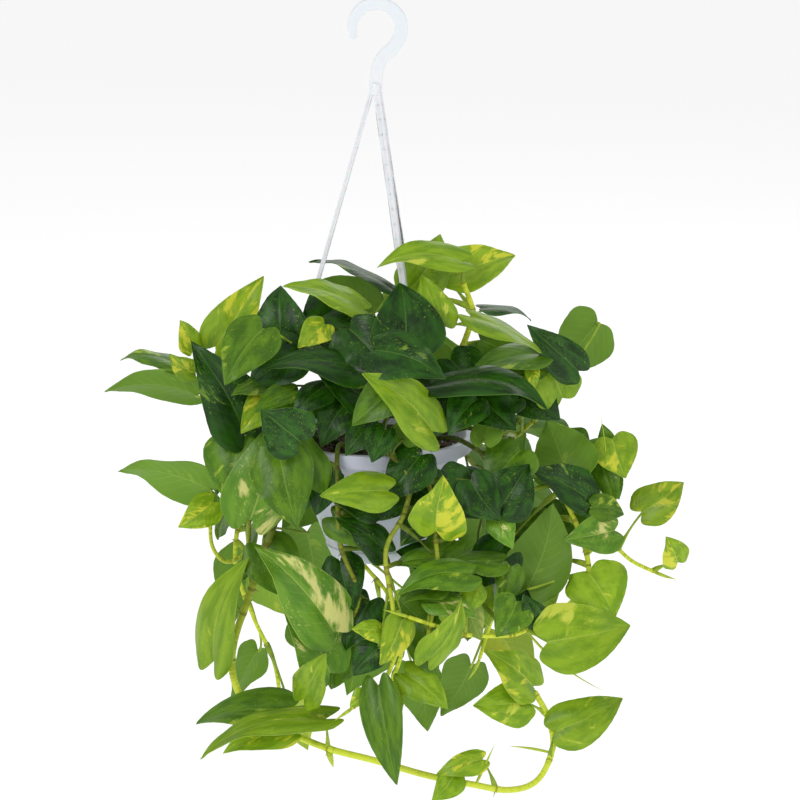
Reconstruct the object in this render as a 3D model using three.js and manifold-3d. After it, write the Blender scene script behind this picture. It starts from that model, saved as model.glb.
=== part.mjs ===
// A golden pothos in a hanging pot: a tapered plastic pot on a one-piece three-armed hanger, the
// potting soil, sixteen vines that rise from it or trail over its rim, and the vines' leaves.
// Millimetres, +Z up, +X to the right and -Y to the front. The origin is the top of the inside of
// the hook, where the plant hangs.
import * as THREE from 'three';
import { mergeVertices } from 'three/addons/utils/BufferGeometryUtils.js';
import Module from 'manifold-3d';

const wasm = await Module();
wasm.setup();
const { Manifold, Mesh } = wasm;

// ---- Pot ----
const HANG_HEIGHT = 433; // from the hook's seat down to the pot's rim
const POT_HEIGHT = 124;
const POT_RIM_RADIUS = 97;
const POT_BASE_RADIUS = 45;
const POT_WALL = 2;
const POT_FLOOR = 2.4;
const RIM_BAND_HEIGHT = 14; // the skirt that turns down round the rim
const RIM_BAND_THICKNESS = 1.6;
const RIM_BAND_GAP = 3.4; // between the skirt and the top of the wall
const FOOT_BAND_HEIGHT = 12.5;
const FOOT_BAND_STEP = 0.9;
const DRAIN_HOLES = 5;
const DRAIN_HOLE_RADIUS = 4;
const ROUND_SEGMENTS = 36;

// ---- Soil ----
const SOIL_DEPTH_BELOW_RIM = 12;
const SOIL_CROWN = 5; // how much higher the soil is in the middle

// ---- Hanger ----
const HOOK_INNER_RADIUS = 18.8;
const HOOK_THICKNESS = 5;
const HOOK_TIP_WIDTH = 8.7;
const HOOK_TOP_WIDTH = 13;
const HOOK_NECK_WIDTH = 13;
const HOOK_TIP_ANGLE = 196; // from +X, round over the top
const HOOK_SIDE_ANGLE = -38; // where the ring turns into the neck
const NECK_LENGTH = 23; // from the ring's lowest point down to the hub
const HUB_RADIUS = 7;
const HUB_HEIGHT = 12;
const ARM_ANGLES = [180, 60, -60]; // about the pot's axis, from +X towards the front
const ARM_WIDTH = 8.5;
const ARM_THICKNESS = 2.2;
const ARM_RIB_WIDTH = 2.6;
const ARM_RIB_HEIGHT = 2.2;
const CLIP_THICKNESS = 2.6;
const CLIP_LIP = 2.6; // how far the clip's lip reaches in under the skirt

// ---- Plant ----
const BLADE_THICKNESS = 1.2;
const BLADE_BOW = 0.09; // rise of the midrib between base and tip, as a share of the length
const BLADE_FOLD = 0.16; // rise of the edges, as a share of their distance from the midrib
const PETIOLE_RADIUS = 1.7;
const SEAT = 2.5; // how far a stalk runs into its blade
const SPROUT_HEIGHT = 7; // how far a vine rises straight out of the soil
const STEM_SIDES = 5;
const STEM_STEPS = 2; // from one place on a vine to the next
const PETIOLE_SIDES = 3;
const PETIOLE_STEPS = 2;
const PETIOLE_LONG = 30; // a stalk has a step more for each such length
const GAP = 0.4; // between pieces that touch
const FINEST = 0.3; // detail smaller than this is smoothed away where pieces are joined

// Places on the plant are chosen by hand as [across, drop, out]: across and out are distances from
// the pot's axis to the right and to the front, and drop is measured down from the hook along a
// sheet that leans back by SHEET_LEAN, so that a place moved straight in or out keeps its drop.
const SHEET_LEAN = THREE.MathUtils.degToRad(14);
// The rim radius and hanging height that the places were chosen for.
const PLACES_RIM_RADIUS = 97;
const PLACES_HANG_HEIGHT = 433;
const NUDGE_STEP = 4; // a leaf that would touch a neighbour moves in or out by such steps
const NUDGES = 16;
const STALK_SLIDES = [0, -0.3, 0.3, -0.7]; // how far its stalk may slide along the vine, in places

const RIM_TOP = -HANG_HEIGHT;
const POT_BOTTOM = RIM_TOP - POT_HEIGHT;
const RIM_BAND_BOTTOM = RIM_TOP - RIM_BAND_HEIGHT;
const WALL_TOP_RADIUS = POT_RIM_RADIUS - RIM_BAND_THICKNESS - RIM_BAND_GAP;
const SOIL_TOP = RIM_TOP - SOIL_DEPTH_BELOW_RIM;
const HUB_TOP = -HOOK_INNER_RADIUS * 2 - HOOK_TOP_WIDTH - NECK_LENGTH;

const FINISHES = {
  plastic: { color: 0xf1f2f8, roughness: 0.35 },
  soil: { color: 0x3a2a1e, roughness: 0.95 },
  stem: { color: 0x7f9a3a, roughness: 0.5 },
  dark: { color: 0x2f5f22, roughness: 0.35 },
  mid: { color: 0x4f8a2a, roughness: 0.35 },
  bright: { color: 0x7ab52e, roughness: 0.35 },
  yellow: { color: 0xb9c94a, roughness: 0.35 },
  cream: { color: 0xd8dc9a, roughness: 0.35 },
};

// Vines. root: [angle, radius] on the soil; over: the angle at which it crosses the rim, left out
// on an upright vine; route: the places that follow; radius: of the stem.
const VINES = {
  front: {
    root: [60, 40], over: 84, radius: 2.6,
    route: [[33, 466, 116], [28, 500, 124], [10, 537, 132], [17, 594, 142], [20, 636, 146],
      [4, 672, 142], [-24, 694, 134]],
  },
  long: {
    root: [140, 52], over: 142, radius: 3.6,
    route: [[-98, 500, 72], [-124, 575, 68], [-142, 630, 60], [-142, 667, 58], [-122, 704, 66],
      [-86, 720, 80], [-48, 735, 98], [0, 747, 114], [50, 761, 126], [95, 770, 130],
      [134, 776, 122], [162, 766, 104], [177, 733, 84], [171, 702, 72], [158, 678, 66]],
  },
  loop: {
    root: [32, 52], over: 34, radius: 2.6,
    route: [[125, 450, 68], [164, 463, 62], [190, 490, 62], [212, 552, 76], [197, 586, 96],
      [164, 606, 116], [137, 620, 128], [88, 620, 142], [62, 612, 148], [32, 602, 152]],
  },
  right: {
    root: [2, 50], over: 8, radius: 2.4,
    route: [[140, 446, 8], [180, 460, 10], [202, 485, 8], [218, 510, 2], [236, 529, -4],
      [256, 548, -8], [280, 560, -14]],
  },
  right_high: {
    root: [-22, 46], over: -18, radius: 2.4,
    route: [[128, 428, -34], [158, 408, -24], [180, 386, -8], [186, 372, 0]],
  },
  crown_right: {
    root: [38, 26], radius: 3.2,
    route: [[62, 392, 20], [80, 350, 28], [94, 312, 32], [96, 296, 32], [86, 268, 34]],
  },
  crown: {
    root: [88, 18], radius: 2.6,
    route: [[18, 392, 36], [22, 366, 46], [30, 346, 58]],
  },
  crown_left: {
    root: [155, 26], radius: 2.6,
    route: [[-36, 398, 22], [-46, 364, 28], [-50, 332, 34]],
  },
  left_high: {
    root: [200, 56], over: 198, radius: 2.4,
    route: [[-124, 396, -30], [-148, 372, -18], [-158, 350, -10], [-159, 338, -6]],
  },
  left_loop: {
    root: [168, 54], over: 166, radius: 2.4,
    route: [[-114, 470, 26], [-126, 505, 20], [-130, 538, 16], [-150, 549, 20], [-164, 533, 22],
      [-166, 502, 24]],
  },
  low_left: {
    root: [108, 50], over: 112, radius: 2.4,
    route: [[-38, 490, 112], [-34, 535, 108], [-17, 583, 100], [-34, 622, 96], [-48, 655, 90],
      [-58, 682, 84]],
  },
  low_right: {
    root: [70, 62], over: 72, radius: 2.4,
    route: [[52, 470, 108], [58, 515, 114], [62, 560, 122], [56, 600, 130], [48, 634, 132],
      [34, 662, 126]],
  },
  back_left: {
    root: [220, 50], over: 218, radius: 2.4,
    route: [[-104, 448, -76], [-134, 496, -84], [-142, 552, -70], [-124, 606, -60],
      [-104, 650, -66], [-96, 694, -58]],
  },
  back: {
    root: [262, 50], over: 264, radius: 2.4,
    route: [[-10, 438, -122], [-34, 486, -136], [-22, 540, -126], [14, 588, -112],
      [26, 640, -118], [6, 694, -106]],
  },
  back_right: {
    root: [318, 50], over: 322, radius: 2.4,
    route: [[94, 446, -84], [130, 492, -86], [142, 548, -72], [120, 600, -76], [104, 650, -70]],
  },
  crown_back: {
    root: [265, 22], radius: 2.6,
    route: [[4, 384, -34], [-6, 346, -52], [-2, 316, -64]],
  },
};

// Leaves. [vine, at, base, tip, width, roll, tone, apart]. at: how far along the vine's places the
// leaf stalk starts, counted from its sprout. roll: degrees that the face turns from the
// front towards the right-hand side of the way from base to tip. apart: the leaf has its own node.
const LEAVES = [
  // The crown, over the pot.
  ['left_high', 5.6, [-159, 333, -2], [-112, 264, 8], 42, 0, 'yellow', 1],
  ['crown_left', 3, [-95, 339, 40], [-97, 272, 16], 52, -10, 'dark', 1],
  ['crown_left', 1.9, [-112, 317, 90], [-149, 372, 122], 46, 0, 'mid', 1],
  ['crown_left', 3, [-12, 297, 34], [-92, 273, 52], 40, 55, 'bright', 1],
  ['crown_left', 2.6, [13, 276, -8], [-67, 248, -20], 38, 76, 'dark', 0],
  ['crown_left', 2.8, [-51, 312, 60], [-77, 335, 78], 30, 25, 'yellow', 0],
  ['crown_left', 3, [-50, 315, 36], [0, 322, 54], 40, -20, 'dark', 0],
  ['crown', 2.6, [-8, 358, 82], [-108, 350, 108], 44, 48, 'dark', 1],
  ['crown', 1.6, [-9, 387, 72], [-60, 354, 88], 38, 35, 'dark', 0],
  ['crown', 0.7, [56, 418, 118], [-10, 361, 150], 48, 30, 'bright', 1],
  ['crown', 3, [29, 339, 92], [24, 270, 62], 64, 0, 'dark', 1],
  ['crown', 2.8, [0, 338, 120], [68, 364, 154], 48, -20, 'dark', 1],
  ['crown_right', 4, [35, 276, 26], [65, 222, 10], 44, 10, 'bright', 1],
  ['crown_right', 3.9, [72, 262, 8], [139, 242, -14], 46, -28, 'yellow', 1],
  ['crown_right', 5, [85, 249, 46], [3, 250, 72], 34, 40, 'bright', 1],
  ['crown_right', 3, [67, 313, 66], [46, 263, 54], 34, 10, 'bright', 0],
  ['crown_right', 3, [96, 305, 70], [164, 341, 100], 38, -62, 'bright', 1],
  ['crown_right', 3.4, [106, 296, 30], [156, 304, 14], 26, -74, 'dark', 0],
  ['right_high', 4.4, [163, 341, 40], [89, 362, 86], 38, 45, 'mid', 0],
  ['right_high', 4, [162, 352, 34], [124, 372, 60], 28, 40, 'mid', 0],
  ['right_high', 5.6, [202, 358, 30], [151, 313, 40], 36, 10, 'dark', 0],
  ['right_high', 5, [222, 310, -28], [178, 354, 0], 52, 168, 'mid', 1],
  ['right_high', 5.4, [186, 385, 16], [163, 341, 20], 44, 10, 'bright', 0],
  ['crown_right', 1, [60, 374, 96], [170, 390, 126], 50, -58, 'dark', 1],
  ['right_high', 4, [155, 356, 58], [158, 376, 70], 13, 0, 'yellow', 0],
  ['crown_right', 1.6, [100, 386, 88], [72, 421, 116], 36, 0, 'dark', 0],
  ['right_high', 3.4, [107, 429, 88], [112, 387, 66], 28, 165, 'mid', 0],
  ['right_high', 3.6, [142, 386, 54], [124, 407, 72], 20, 10, 'dark', 0],
  ['crown_left', 1.6, [-101, 368, 58], [-144, 381, 80], 28, 50, 'mid', 0],
  ['crown_left', 1.2, [-103, 382, 64], [-134, 420, 90], 32, 10, 'yellow', 0],
  ['crown_left', 1, [-82, 378, 78], [-120, 400, 106], 24, 30, 'mid', 0],
  ['crown', 1, [-50, 374, 86], [-82, 404, 110], 28, 20, 'dark', 0],
  ['crown_back', 3, [-4, 300, -60], [-60, 266, -74], 50, 150, 'mid', 1],
  ['crown_back', 2.8, [8, 304, -66], [66, 288, -100], 50, 205, 'bright', 0],
  ['crown_back', 2.6, [14, 332, -78], [84, 334, -120], 54, 200, 'mid', 0],
  ['crown_back', 2, [-12, 350, -74], [-84, 330, -112], 56, 150, 'dark', 0],
  ['crown_back', 1.6, [2, 372, -78], [20, 386, -150], 54, 195, 'dark', 0],
  ['crown_back', 1.4, [-20, 384, -116], [-84, 392, -172], 50, 165, 'mid', 0],
  // The left.
  ['left_high', 5, [-191, 355, 2], [-256, 345, -14], 34, 66, 'mid', 0],
  ['left_high', 5.4, [-183, 337, 6], [-195, 307, 0], 22, 20, 'yellow', 0],
  ['left_high', 4.6, [-180, 360, 16], [-206, 341, 26], 24, -20, 'yellow', 0],
  ['left_high', 4, [-179, 382, 4], [-271, 378, 26], 44, 128, 'mid', 1],
  ['left_high', 3.4, [-131, 421, 44], [-183, 331, 62], 56, 5, 'dark', 1],
  ['left_high', 2.2, [-112, 404, -52], [-160, 420, -100], 50, 120, 'mid', 0],
  ['left_high', 3.4, [-134, 392, -30], [-172, 384, -78], 46, 105, 'bright', 0],
  ['left_loop', 7.9, [-164, 477, 28], [-257, 455, 44], 48, 138, 'mid', 1],
  ['left_loop', 8, [-163, 489, 34], [-197, 514, 50], 30, 10, 'yellow', 0],
  ['left_loop', 4, [-124, 504, 92], [-101, 407, 66], 58, 0, 'cream', 1],
  ['left_loop', 3, [-126, 450, 8], [-162, 478, -34], 46, 100, 'dark', 0],
  ['low_left', 2.4, [-66, 474, 116], [-92, 404, 88], 46, 15, 'mid', 0],
  ['low_left', 2.4, [-96, 440, 120], [-78, 514, 144], 54, 0, 'mid', 1],
  // The middle, before the pot.
  ['front', 2.4, [2, 412, 104], [-30, 441, 126], 36, 30, 'dark', 0],
  ['front', 2.2, [26, 428, 108], [36, 402, 94], 30, 170, 'mid', 0],
  ['low_left', 3, [12, 477, 132], [-55, 482, 152], 38, 20, 'bright', 1],
  ['low_left', 4, [10, 538, 120], [-40, 504, 132], 34, 30, 'dark', 0],
  ['low_left', 3.2, [0, 498, 110], [-40, 488, 118], 26, 30, 'dark', 0],
  ['low_right', 4.2, [60, 517, 130], [68, 465, 148], 50, 0, 'yellow', 1],
  ['low_right', 3, [108, 472, 88], [54, 490, 108], 46, 10, 'dark', 0],
  ['front', 4.3, [62, 545, 104], [18, 551, 116], 24, 40, 'mid', 0],
  ['low_right', 5, [124, 548, 96], [66, 552, 114], 36, 52, 'mid', 0],
  ['low_right', 5.2, [94, 560, 132], [22, 577, 156], 36, 34, 'mid', 1],
  ['low_right', 5.6, [98, 571, 126], [86, 600, 142], 24, 0, 'bright', 0],
  ['low_right', 5.4, [134, 554, 104], [126, 590, 112], 26, 0, 'mid', 0],
  ['low_right', 6, [66, 569, 132], [26, 586, 140], 30, 48, 'mid', 0],
  // The right.
  ['right', 3.3, [192, 464, 34], [172, 407, 14], 62, 165, 'mid', 1],
  ['right', 6, [232, 436, 8], [226, 411, 4], 17, 0, 'mid', 0],
  ['right', 6.4, [236, 426, 14], [249, 465, 34], 42, -10, 'yellow', 1],
  ['right', 5.6, [222, 446, 14], [239, 490, 32], 28, 20, 'mid', 0],
  ['right', 7.4, [267, 499, 2], [308, 468, -12], 38, -12, 'yellow', 1],
  ['right', 9, [303, 550, -12], [291, 524, -4], 28, 20, 'yellow', 0],
  ['loop', 3, [122, 496, 108], [152, 450, 92], 50, 0, 'dark', 1],
  ['loop', 4, [212, 486, 50], [155, 456, 70], 42, 30, 'dark', 0],
  ['loop', 4.4, [119, 501, 100], [136, 535, 118], 26, 0, 'cream', 0],
  ['loop', 6.2, [151, 575, 92], [176, 490, 76], 58, 172, 'mid', 1],
  ['loop', 5.8, [238, 517, 64], [188, 526, 86], 38, 20, 'cream', 0],
  ['loop', 5, [216, 494, 58], [248, 501, 48], 28, -30, 'mid', 0],
  ['loop', 6.4, [212, 560, 90], [238, 604, 112], 56, -10, 'bright', 1],
  ['right_high', 2.2, [118, 410, -58], [172, 424, -100], 48, -120, 'mid', 0],
  ['right_high', 3.2, [146, 402, -44], [198, 418, -66], 44, -110, 'dark', 0],
  // The lower right.
  ['loop', 8.6, [171, 627, 132], [254, 610, 112], 62, -8, 'bright', 1],
  ['loop', 8, [166, 612, 120], [146, 580, 124], 26, 0, 'dark', 0],
  ['loop', 9, [140, 587, 124], [119, 622, 140], 36, 0, 'mid', 0],
  ['loop', 10, [52, 645, 150], [87, 586, 158], 34, 34, 'bright', 0],
  ['loop', 10, [92, 592, 132], [104, 626, 146], 24, 170, 'cream', 0],
  ['low_right', 6.4, [54, 587, 138], [100, 603, 150], 28, -34, 'cream', 0],
  ['low_right', 7, [48, 608, 124], [61, 665, 140], 34, 12, 'mid', 0],
  ['low_right', 8, [29, 659, 136], [72, 694, 152], 33, -12, 'bright', 0],
  ['long', 16.8, [156, 673, 70], [110, 637, 94], 42, 22, 'yellow', 1],
  ['long', 16, [151, 689, 74], [97, 692, 98], 42, 8, 'bright', 1],
  ['long', 14.6, [180, 718, 84], [247, 684, 66], 44, -8, 'bright', 1],
  ['long', 12.6, [106, 745, 130], [60, 760, 140], 24, 20, 'yellow', 0],
  ['long', 11.6, [79, 759, 132], [56, 786, 146], 26, 0, 'bright', 0],
  // The lower left.
  ['long', 5.4, [-162, 648, 64], [-126, 543, 88], 44, -28, 'bright', 1],
  ['long', 4.4, [-144, 590, 58], [-166, 581, 52], 17, 30, 'dark', 0],
  ['long', 4, [-129, 556, 62], [-150, 561, 54], 16, 20, 'mid', 0],
  ['low_left', 6, [-42, 617, 112], [-116, 532, 136], 58, 14, 'cream', 1],
  ['low_left', 5.4, [-60, 586, 106], [-82, 578, 116], 19, 0, 'cream', 0],
  ['low_left', 7, [-46, 659, 100], [-91, 596, 118], 50, 10, 'cream', 1],
  ['low_left', 8, [-72, 685, 116], [-50, 639, 142], 34, -22, 'bright', 0],
  ['front', 6.4, [2, 634, 150], [-23, 661, 150], 28, 10, 'dark', 0],
  ['front', 5.6, [6, 617, 148], [-24, 614, 158], 22, 30, 'yellow', 0],
  ['front', 5.4, [26, 605, 148], [4, 650, 164], 28, 0, 'yellow', 0],
  ['long', 7.6, [-86, 697, 86], [-181, 709, 70], 46, 40, 'mid', 1],
  ['long', 9, [-52, 706, 108], [-176, 742, 122], 36, 48, 'bright', 1],
  ['long', 8, [-84, 719, 92], [-154, 738, 96], 30, 20, 'yellow', 0],
  ['front', 8, [3, 671, 150], [21, 770, 172], 38, 20, 'mid', 1],
  ['front', 8.4, [8, 675, 140], [24, 704, 152], 30, 0, 'yellow', 0],
  ['front', 9, [-12, 678, 142], [-26, 692, 146], 15, 0, 'yellow', 0],
  // The back.
  ['back_left', 2.6, [-116, 436, -92], [-168, 466, -132], 52, 140, 'dark', 0],
  ['back_left', 3.4, [-140, 486, -100], [-160, 528, -64], 46, 110, 'mid', 0],
  ['back_left', 4, [-130, 540, -90], [-146, 610, -108], 54, 170, 'mid', 0],
  ['back_left', 4.6, [-112, 560, -78], [-62, 612, -98], 50, 200, 'bright', 0],
  ['back_left', 5.6, [-120, 640, -76], [-146, 690, -54], 44, 130, 'mid', 0],
  ['back_left', 6.6, [-90, 690, -72], [-70, 742, -86], 40, 180, 'yellow', 0],
  ['back', 2.2, [36, 404, -124], [84, 424, -168], 52, 205, 'mid', 0],
  ['back', 2.6, [-24, 418, -136], [-66, 452, -180], 54, 170, 'dark', 0],
  ['back', 3.2, [-48, 474, -152], [-96, 520, -162], 50, 160, 'mid', 0],
  ['back', 3.6, [-6, 500, -154], [34, 556, -180], 56, 195, 'mid', 0],
  ['back', 4.4, [-40, 556, -140], [-58, 624, -158], 50, 175, 'yellow', 0],
  ['back', 5, [34, 580, -126], [84, 628, -142], 48, 215, 'bright', 0],
  ['back', 5.6, [6, 630, -134], [-30, 686, -150], 50, 170, 'mid', 0],
  ['back', 6.4, [38, 660, -124], [52, 724, -128], 44, 190, 'mid', 0],
  ['back_right', 2.6, [110, 432, -102], [162, 456, -148], 52, 214, 'dark', 0],
  ['back_right', 3.2, [146, 478, -92], [190, 520, -74], 50, 240, 'mid', 0],
  ['back_right', 3.6, [112, 496, -108], [88, 556, -142], 54, 180, 'mid', 0],
  ['back_right', 4.2, [152, 546, -86], [178, 606, -68], 48, 225, 'bright', 0],
  ['back_right', 4.6, [116, 570, -94], [92, 632, -120], 50, 176, 'mid', 0],
  ['back_right', 5.4, [124, 622, -88], [150, 680, -76], 46, 205, 'yellow', 0],
  ['back_right', 6, [96, 656, -82], [66, 706, -94], 42, 170, 'mid', 0],
  // Inner leaves, which fill the plant behind the others.
  ['crown_back', 2.2, [30, 350, -40], [92, 360, -60], 50, 215, 'mid', 0],
  ['crown_back', 2.2, [-30, 340, -44], [-96, 352, -56], 50, 140, 'mid', 0],
  ['crown_left', 2.4, [-36, 287, 12], [-76, 332, 34], 50, 10, 'dark', 0],
  ['crown_left', 1.6, [-76, 337, 56], [-126, 372, 64], 48, 20, 'dark', 0],
  ['crown_right', 2.4, [104, 327, 6], [154, 352, 28], 44, -20, 'mid', 0],
  ['crown', 2.5, [-26, 317, 72], [9, 359, 96], 50, 0, 'dark', 0],
  ['right_high', 3, [144, 367, 6], [184, 407, 24], 44, 0, 'dark', 0],
  ['crown_right', 1.6, [74, 347, 58], [104, 387, 78], 46, -10, 'dark', 0],
  ['crown_right', 1.2, [30, 372, 86], [66, 410, 104], 38, -10, 'dark', 0],
  ['crown', 1.3, [24, 372, 120], [-24, 412, 136], 40, 20, 'mid', 0],
  ['crown', 1.1, [79, 382, 88], [49, 427, 96], 34, 0, 'dark', 0],
  ['crown_right', 0.8, [104, 382, 78], [139, 417, 100], 42, -20, 'dark', 0],
  ['crown', 0.9, [9, 417, 124], [-4, 449, 136], 28, 0, 'dark', 0],
  ['crown_left', 0.8, [-76, 382, 70], [-101, 427, 92], 40, 10, 'mid', 0],
  ['crown_left', 0.6, [-26, 387, 76], [-54, 433, 96], 38, 5, 'dark', 0],
  ['crown_left', 0.7, [-76, 427, 136], [-114, 397, 148], 50, -10, 'dark', 0],
  ['left_loop', 3, [-136, 427, 36], [-144, 492, 54], 58, 10, 'mid', 0],
  ['low_left', 3, [-66, 457, 90], [-86, 507, 100], 40, 0, 'dark', 0],
  ['low_left', 3.2, [-31, 467, 106], [-51, 490, 112], 24, 20, 'dark', 0],
  ['front', 4, [54, 487, 92], [24, 532, 106], 36, 10, 'dark', 0],
  ['low_right', 3, [94, 467, 106], [124, 507, 118], 40, -10, 'dark', 0],
  ['low_right', 4.3, [79, 527, 84], [44, 557, 96], 36, 20, 'mid', 0],
  ['loop', 4.7, [128, 532, 74], [98, 576, 90], 44, 10, 'dark', 0],
  ['low_right', 5, [64, 547, 84], [94, 587, 96], 44, 0, 'dark', 0],
  ['right', 3.6, [214, 427, -14], [184, 467, 4], 46, 30, 'mid', 0],
  ['right', 4.6, [184, 487, 24], [209, 532, 40], 46, -10, 'mid', 0],
  ['right', 5.4, [224, 457, -10], [244, 487, -4], 28, 0, 'mid', 0],
  ['loop', 3, [144, 437, 68], [114, 482, 86], 46, 10, 'mid', 0],
  ['loop', 5.3, [144, 507, 42], [174, 547, 60], 46, -10, 'mid', 0],
  ['loop', 6, [164, 547, 62], [144, 597, 84], 48, 0, 'dark', 0],
  ['low_right', 4.9, [24, 587, 92], [64, 632, 104], 46, -10, 'mid', 0],
  ['loop', 9.1, [74, 562, 80], [114, 612, 96], 50, -10, 'bright', 0],
  ['long', 3.4, [-114, 532, 72], [-76, 587, 88], 50, -10, 'mid', 0],
  ['low_left', 4.6, [-36, 547, 92], [-21, 597, 108], 38, 0, 'dark', 0],
  ['low_left', 5.9, [-76, 607, 80], [-36, 647, 94], 46, -20, 'mid', 0],
  ['low_left', 5, [-6, 587, 88], [-31, 637, 102], 40, 10, 'dark', 0],
  ['low_left', 6, [-26, 627, 84], [-46, 677, 78], 42, 10, 'mid', 0],
  ['back_left', 2, [-70, 420, -96], [-110, 460, -128], 50, 160, 'mid', 0],
  ['back_left', 4.4, [-70, 520, -108], [-60, 580, -136], 50, 180, 'mid', 0],
  ['back', 3, [20, 470, -138], [64, 500, -170], 50, 200, 'dark', 0],
  ['back_right', 3.4, [60, 530, -122], [40, 590, -142], 48, 180, 'mid', 0],
  ['front', 3.8, [26, 478, 90], [-20, 508, 100], 34, 10, 'dark', 0],
  ['low_left', 4.1, [-43, 503, 104], [3, 536, 114], 32, -10, 'mid', 0],
  ['front', 3.4, [44, 442, 104], [9, 487, 116], 42, 10, 'dark', 0],
  ['low_right', 2.6, [64, 457, 100], [78, 507, 110], 44, -10, 'dark', 0],
  ['low_left', 2.6, [-46, 457, 104], [-60, 502, 112], 30, 0, 'dark', 0],
  ['front', 5.3, [66, 545, 68], [20, 537, 78], 34, 14, 'dark', 0],
];

// ---- Geometry helpers ----

function solid(geometry) {
  geometry.deleteAttribute('normal');
  geometry.deleteAttribute('uv');
  const merged = mergeVertices(geometry, 1e-4);
  return new Manifold(new Mesh({
    numProp: 3,
    vertProperties: merged.attributes.position.array,
    triVerts: new Uint32Array(merged.index.array),
  }));
}

function geometryOf(body) {
  const mesh = body.getMesh();
  const geometry = new THREE.BufferGeometry();
  geometry.setAttribute('position', new THREE.BufferAttribute(mesh.vertProperties, 3));
  geometry.setIndex(new THREE.BufferAttribute(mesh.triVerts, 1));
  return geometry;
}

// A direction about the pot's axis, from +X towards the front.
function heading(degrees) {
  const angle = THREE.MathUtils.degToRad(degrees);
  return new THREE.Vector3(Math.cos(angle), -Math.sin(angle), 0);
}

function lathe(profile) {
  const points = profile.map(([r, z]) => new THREE.Vector2(r, z));
  return new THREE.LatheGeometry(points, ROUND_SEGMENTS).rotateX(Math.PI / 2);
}

function tube(curve, radius, sides, steps) {
  const section = new THREE.Shape();
  for (let i = 0; i < sides; i++) {
    const angle = (i / sides) * 2 * Math.PI;
    const [x, y] = [radius * Math.cos(angle), radius * Math.sin(angle)];
    if (i) section.lineTo(x, y);
    else section.moveTo(x, y);
  }
  return new THREE.ExtrudeGeometry(section, { steps, bevelEnabled: false, extrudePath: curve });
}

// A place on the plant. Outside the rim it keeps its distance from the rim and inside it keeps its
// share of the radius, and it hangs with the pot.
function place([across, drop, out]) {
  const reach = Math.hypot(across, out);
  const share = Math.min(1, reach / PLACES_RIM_RADIUS);
  const spread = reach ? 1 + (share * (POT_RIM_RADIUS - PLACES_RIM_RADIUS)) / reach : 1;
  const z = -drop / Math.cos(SHEET_LEAN) + out * Math.tan(SHEET_LEAN);
  return new THREE.Vector3(across * spread, -out * spread, z + PLACES_HANG_HEIGHT - HANG_HEIGHT);
}

// ---- Pot and soil ----

function wallRadiusAt(z) {
  const share = (z - POT_BOTTOM) / POT_HEIGHT;
  return POT_BASE_RADIUS + share * (WALL_TOP_RADIUS - POT_BASE_RADIUS);
}

function potBody() {
  const skirtInner = POT_RIM_RADIUS - RIM_BAND_THICKNESS;
  const flange = RIM_TOP - RIM_BAND_THICKNESS;
  const footTop = POT_BOTTOM + FOOT_BAND_HEIGHT;
  const floor = POT_BOTTOM + POT_FLOOR;
  let body = solid(lathe([
    [0, POT_BOTTOM],
    [POT_BASE_RADIUS, POT_BOTTOM],
    [wallRadiusAt(footTop) + FOOT_BAND_STEP, footTop - FOOT_BAND_STEP],
    [wallRadiusAt(footTop), footTop],
    [wallRadiusAt(flange), flange],
    [skirtInner, flange],
    [skirtInner, RIM_BAND_BOTTOM],
    [POT_RIM_RADIUS, RIM_BAND_BOTTOM],
    [POT_RIM_RADIUS, RIM_TOP - RIM_BAND_THICKNESS / 2],
    [POT_RIM_RADIUS - RIM_BAND_THICKNESS / 2, RIM_TOP],
    [wallRadiusAt(RIM_TOP) - POT_WALL, RIM_TOP],
    [wallRadiusAt(floor) - POT_WALL, floor],
    [0, floor],
  ]));
  for (let i = 0; i < DRAIN_HOLES; i++) {
    const at = heading((i * 360) / DRAIN_HOLES).multiplyScalar(POT_BASE_RADIUS * 0.6);
    const bore = new THREE.CylinderGeometry(DRAIN_HOLE_RADIUS, DRAIN_HOLE_RADIUS, POT_FLOOR * 3, 12);
    bore.rotateX(Math.PI / 2).translate(at.x, at.y, floor);
    body = body.subtract(solid(bore));
  }
  return body;
}

function soilBody() {
  const bottom = POT_BOTTOM + POT_FLOOR + GAP;
  const edge = (z) => wallRadiusAt(z) - POT_WALL - GAP;
  return solid(lathe([
    [0, bottom],
    [edge(bottom), bottom],
    [edge(SOIL_TOP), SOIL_TOP],
    [edge(SOIL_TOP) * 0.7, SOIL_TOP + SOIL_CROWN * 0.7],
    [0, SOIL_TOP + SOIL_CROWN],
  ]));
}

// ---- Hanger ----

// The hook is a flat plate across X and Z: a band that narrows to its tip, laid along its middle.
function hookMiddle(t) {
  const ringShare = 0.8;
  const centre = -HOOK_INNER_RADIUS;
  const onRing = (angle) => {
    const radius = HOOK_INNER_RADIUS + hookWidth(t) / 2;
    return new THREE.Vector2(radius * Math.cos(angle), centre + radius * Math.sin(angle));
  };
  const side = THREE.MathUtils.degToRad(HOOK_SIDE_ANGLE);
  if (t <= ringShare) {
    const tip = THREE.MathUtils.degToRad(HOOK_TIP_ANGLE);
    return onRing(tip + (side - tip) * (t / ringShare));
  }
  const from = onRing(side);
  const neck = new THREE.Vector2(0, HUB_TOP - HUB_HEIGHT / 2);
  const sweep = new THREE.CubicBezierCurve(
    from,
    new THREE.Vector2(from.x * 0.55, from.y - 14),
    new THREE.Vector2(0, from.y - 10),
    neck,
  );
  return sweep.getPoint((t - ringShare) / (1 - ringShare));
}

function hookWidth(t) {
  const topShare = 0.37;
  if (t < topShare) return HOOK_TIP_WIDTH + (HOOK_TOP_WIDTH - HOOK_TIP_WIDTH) * (t / topShare);
  return HOOK_TOP_WIDTH + (HOOK_NECK_WIDTH - HOOK_TOP_WIDTH) * ((t - topShare) / (1 - topShare));
}

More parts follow.
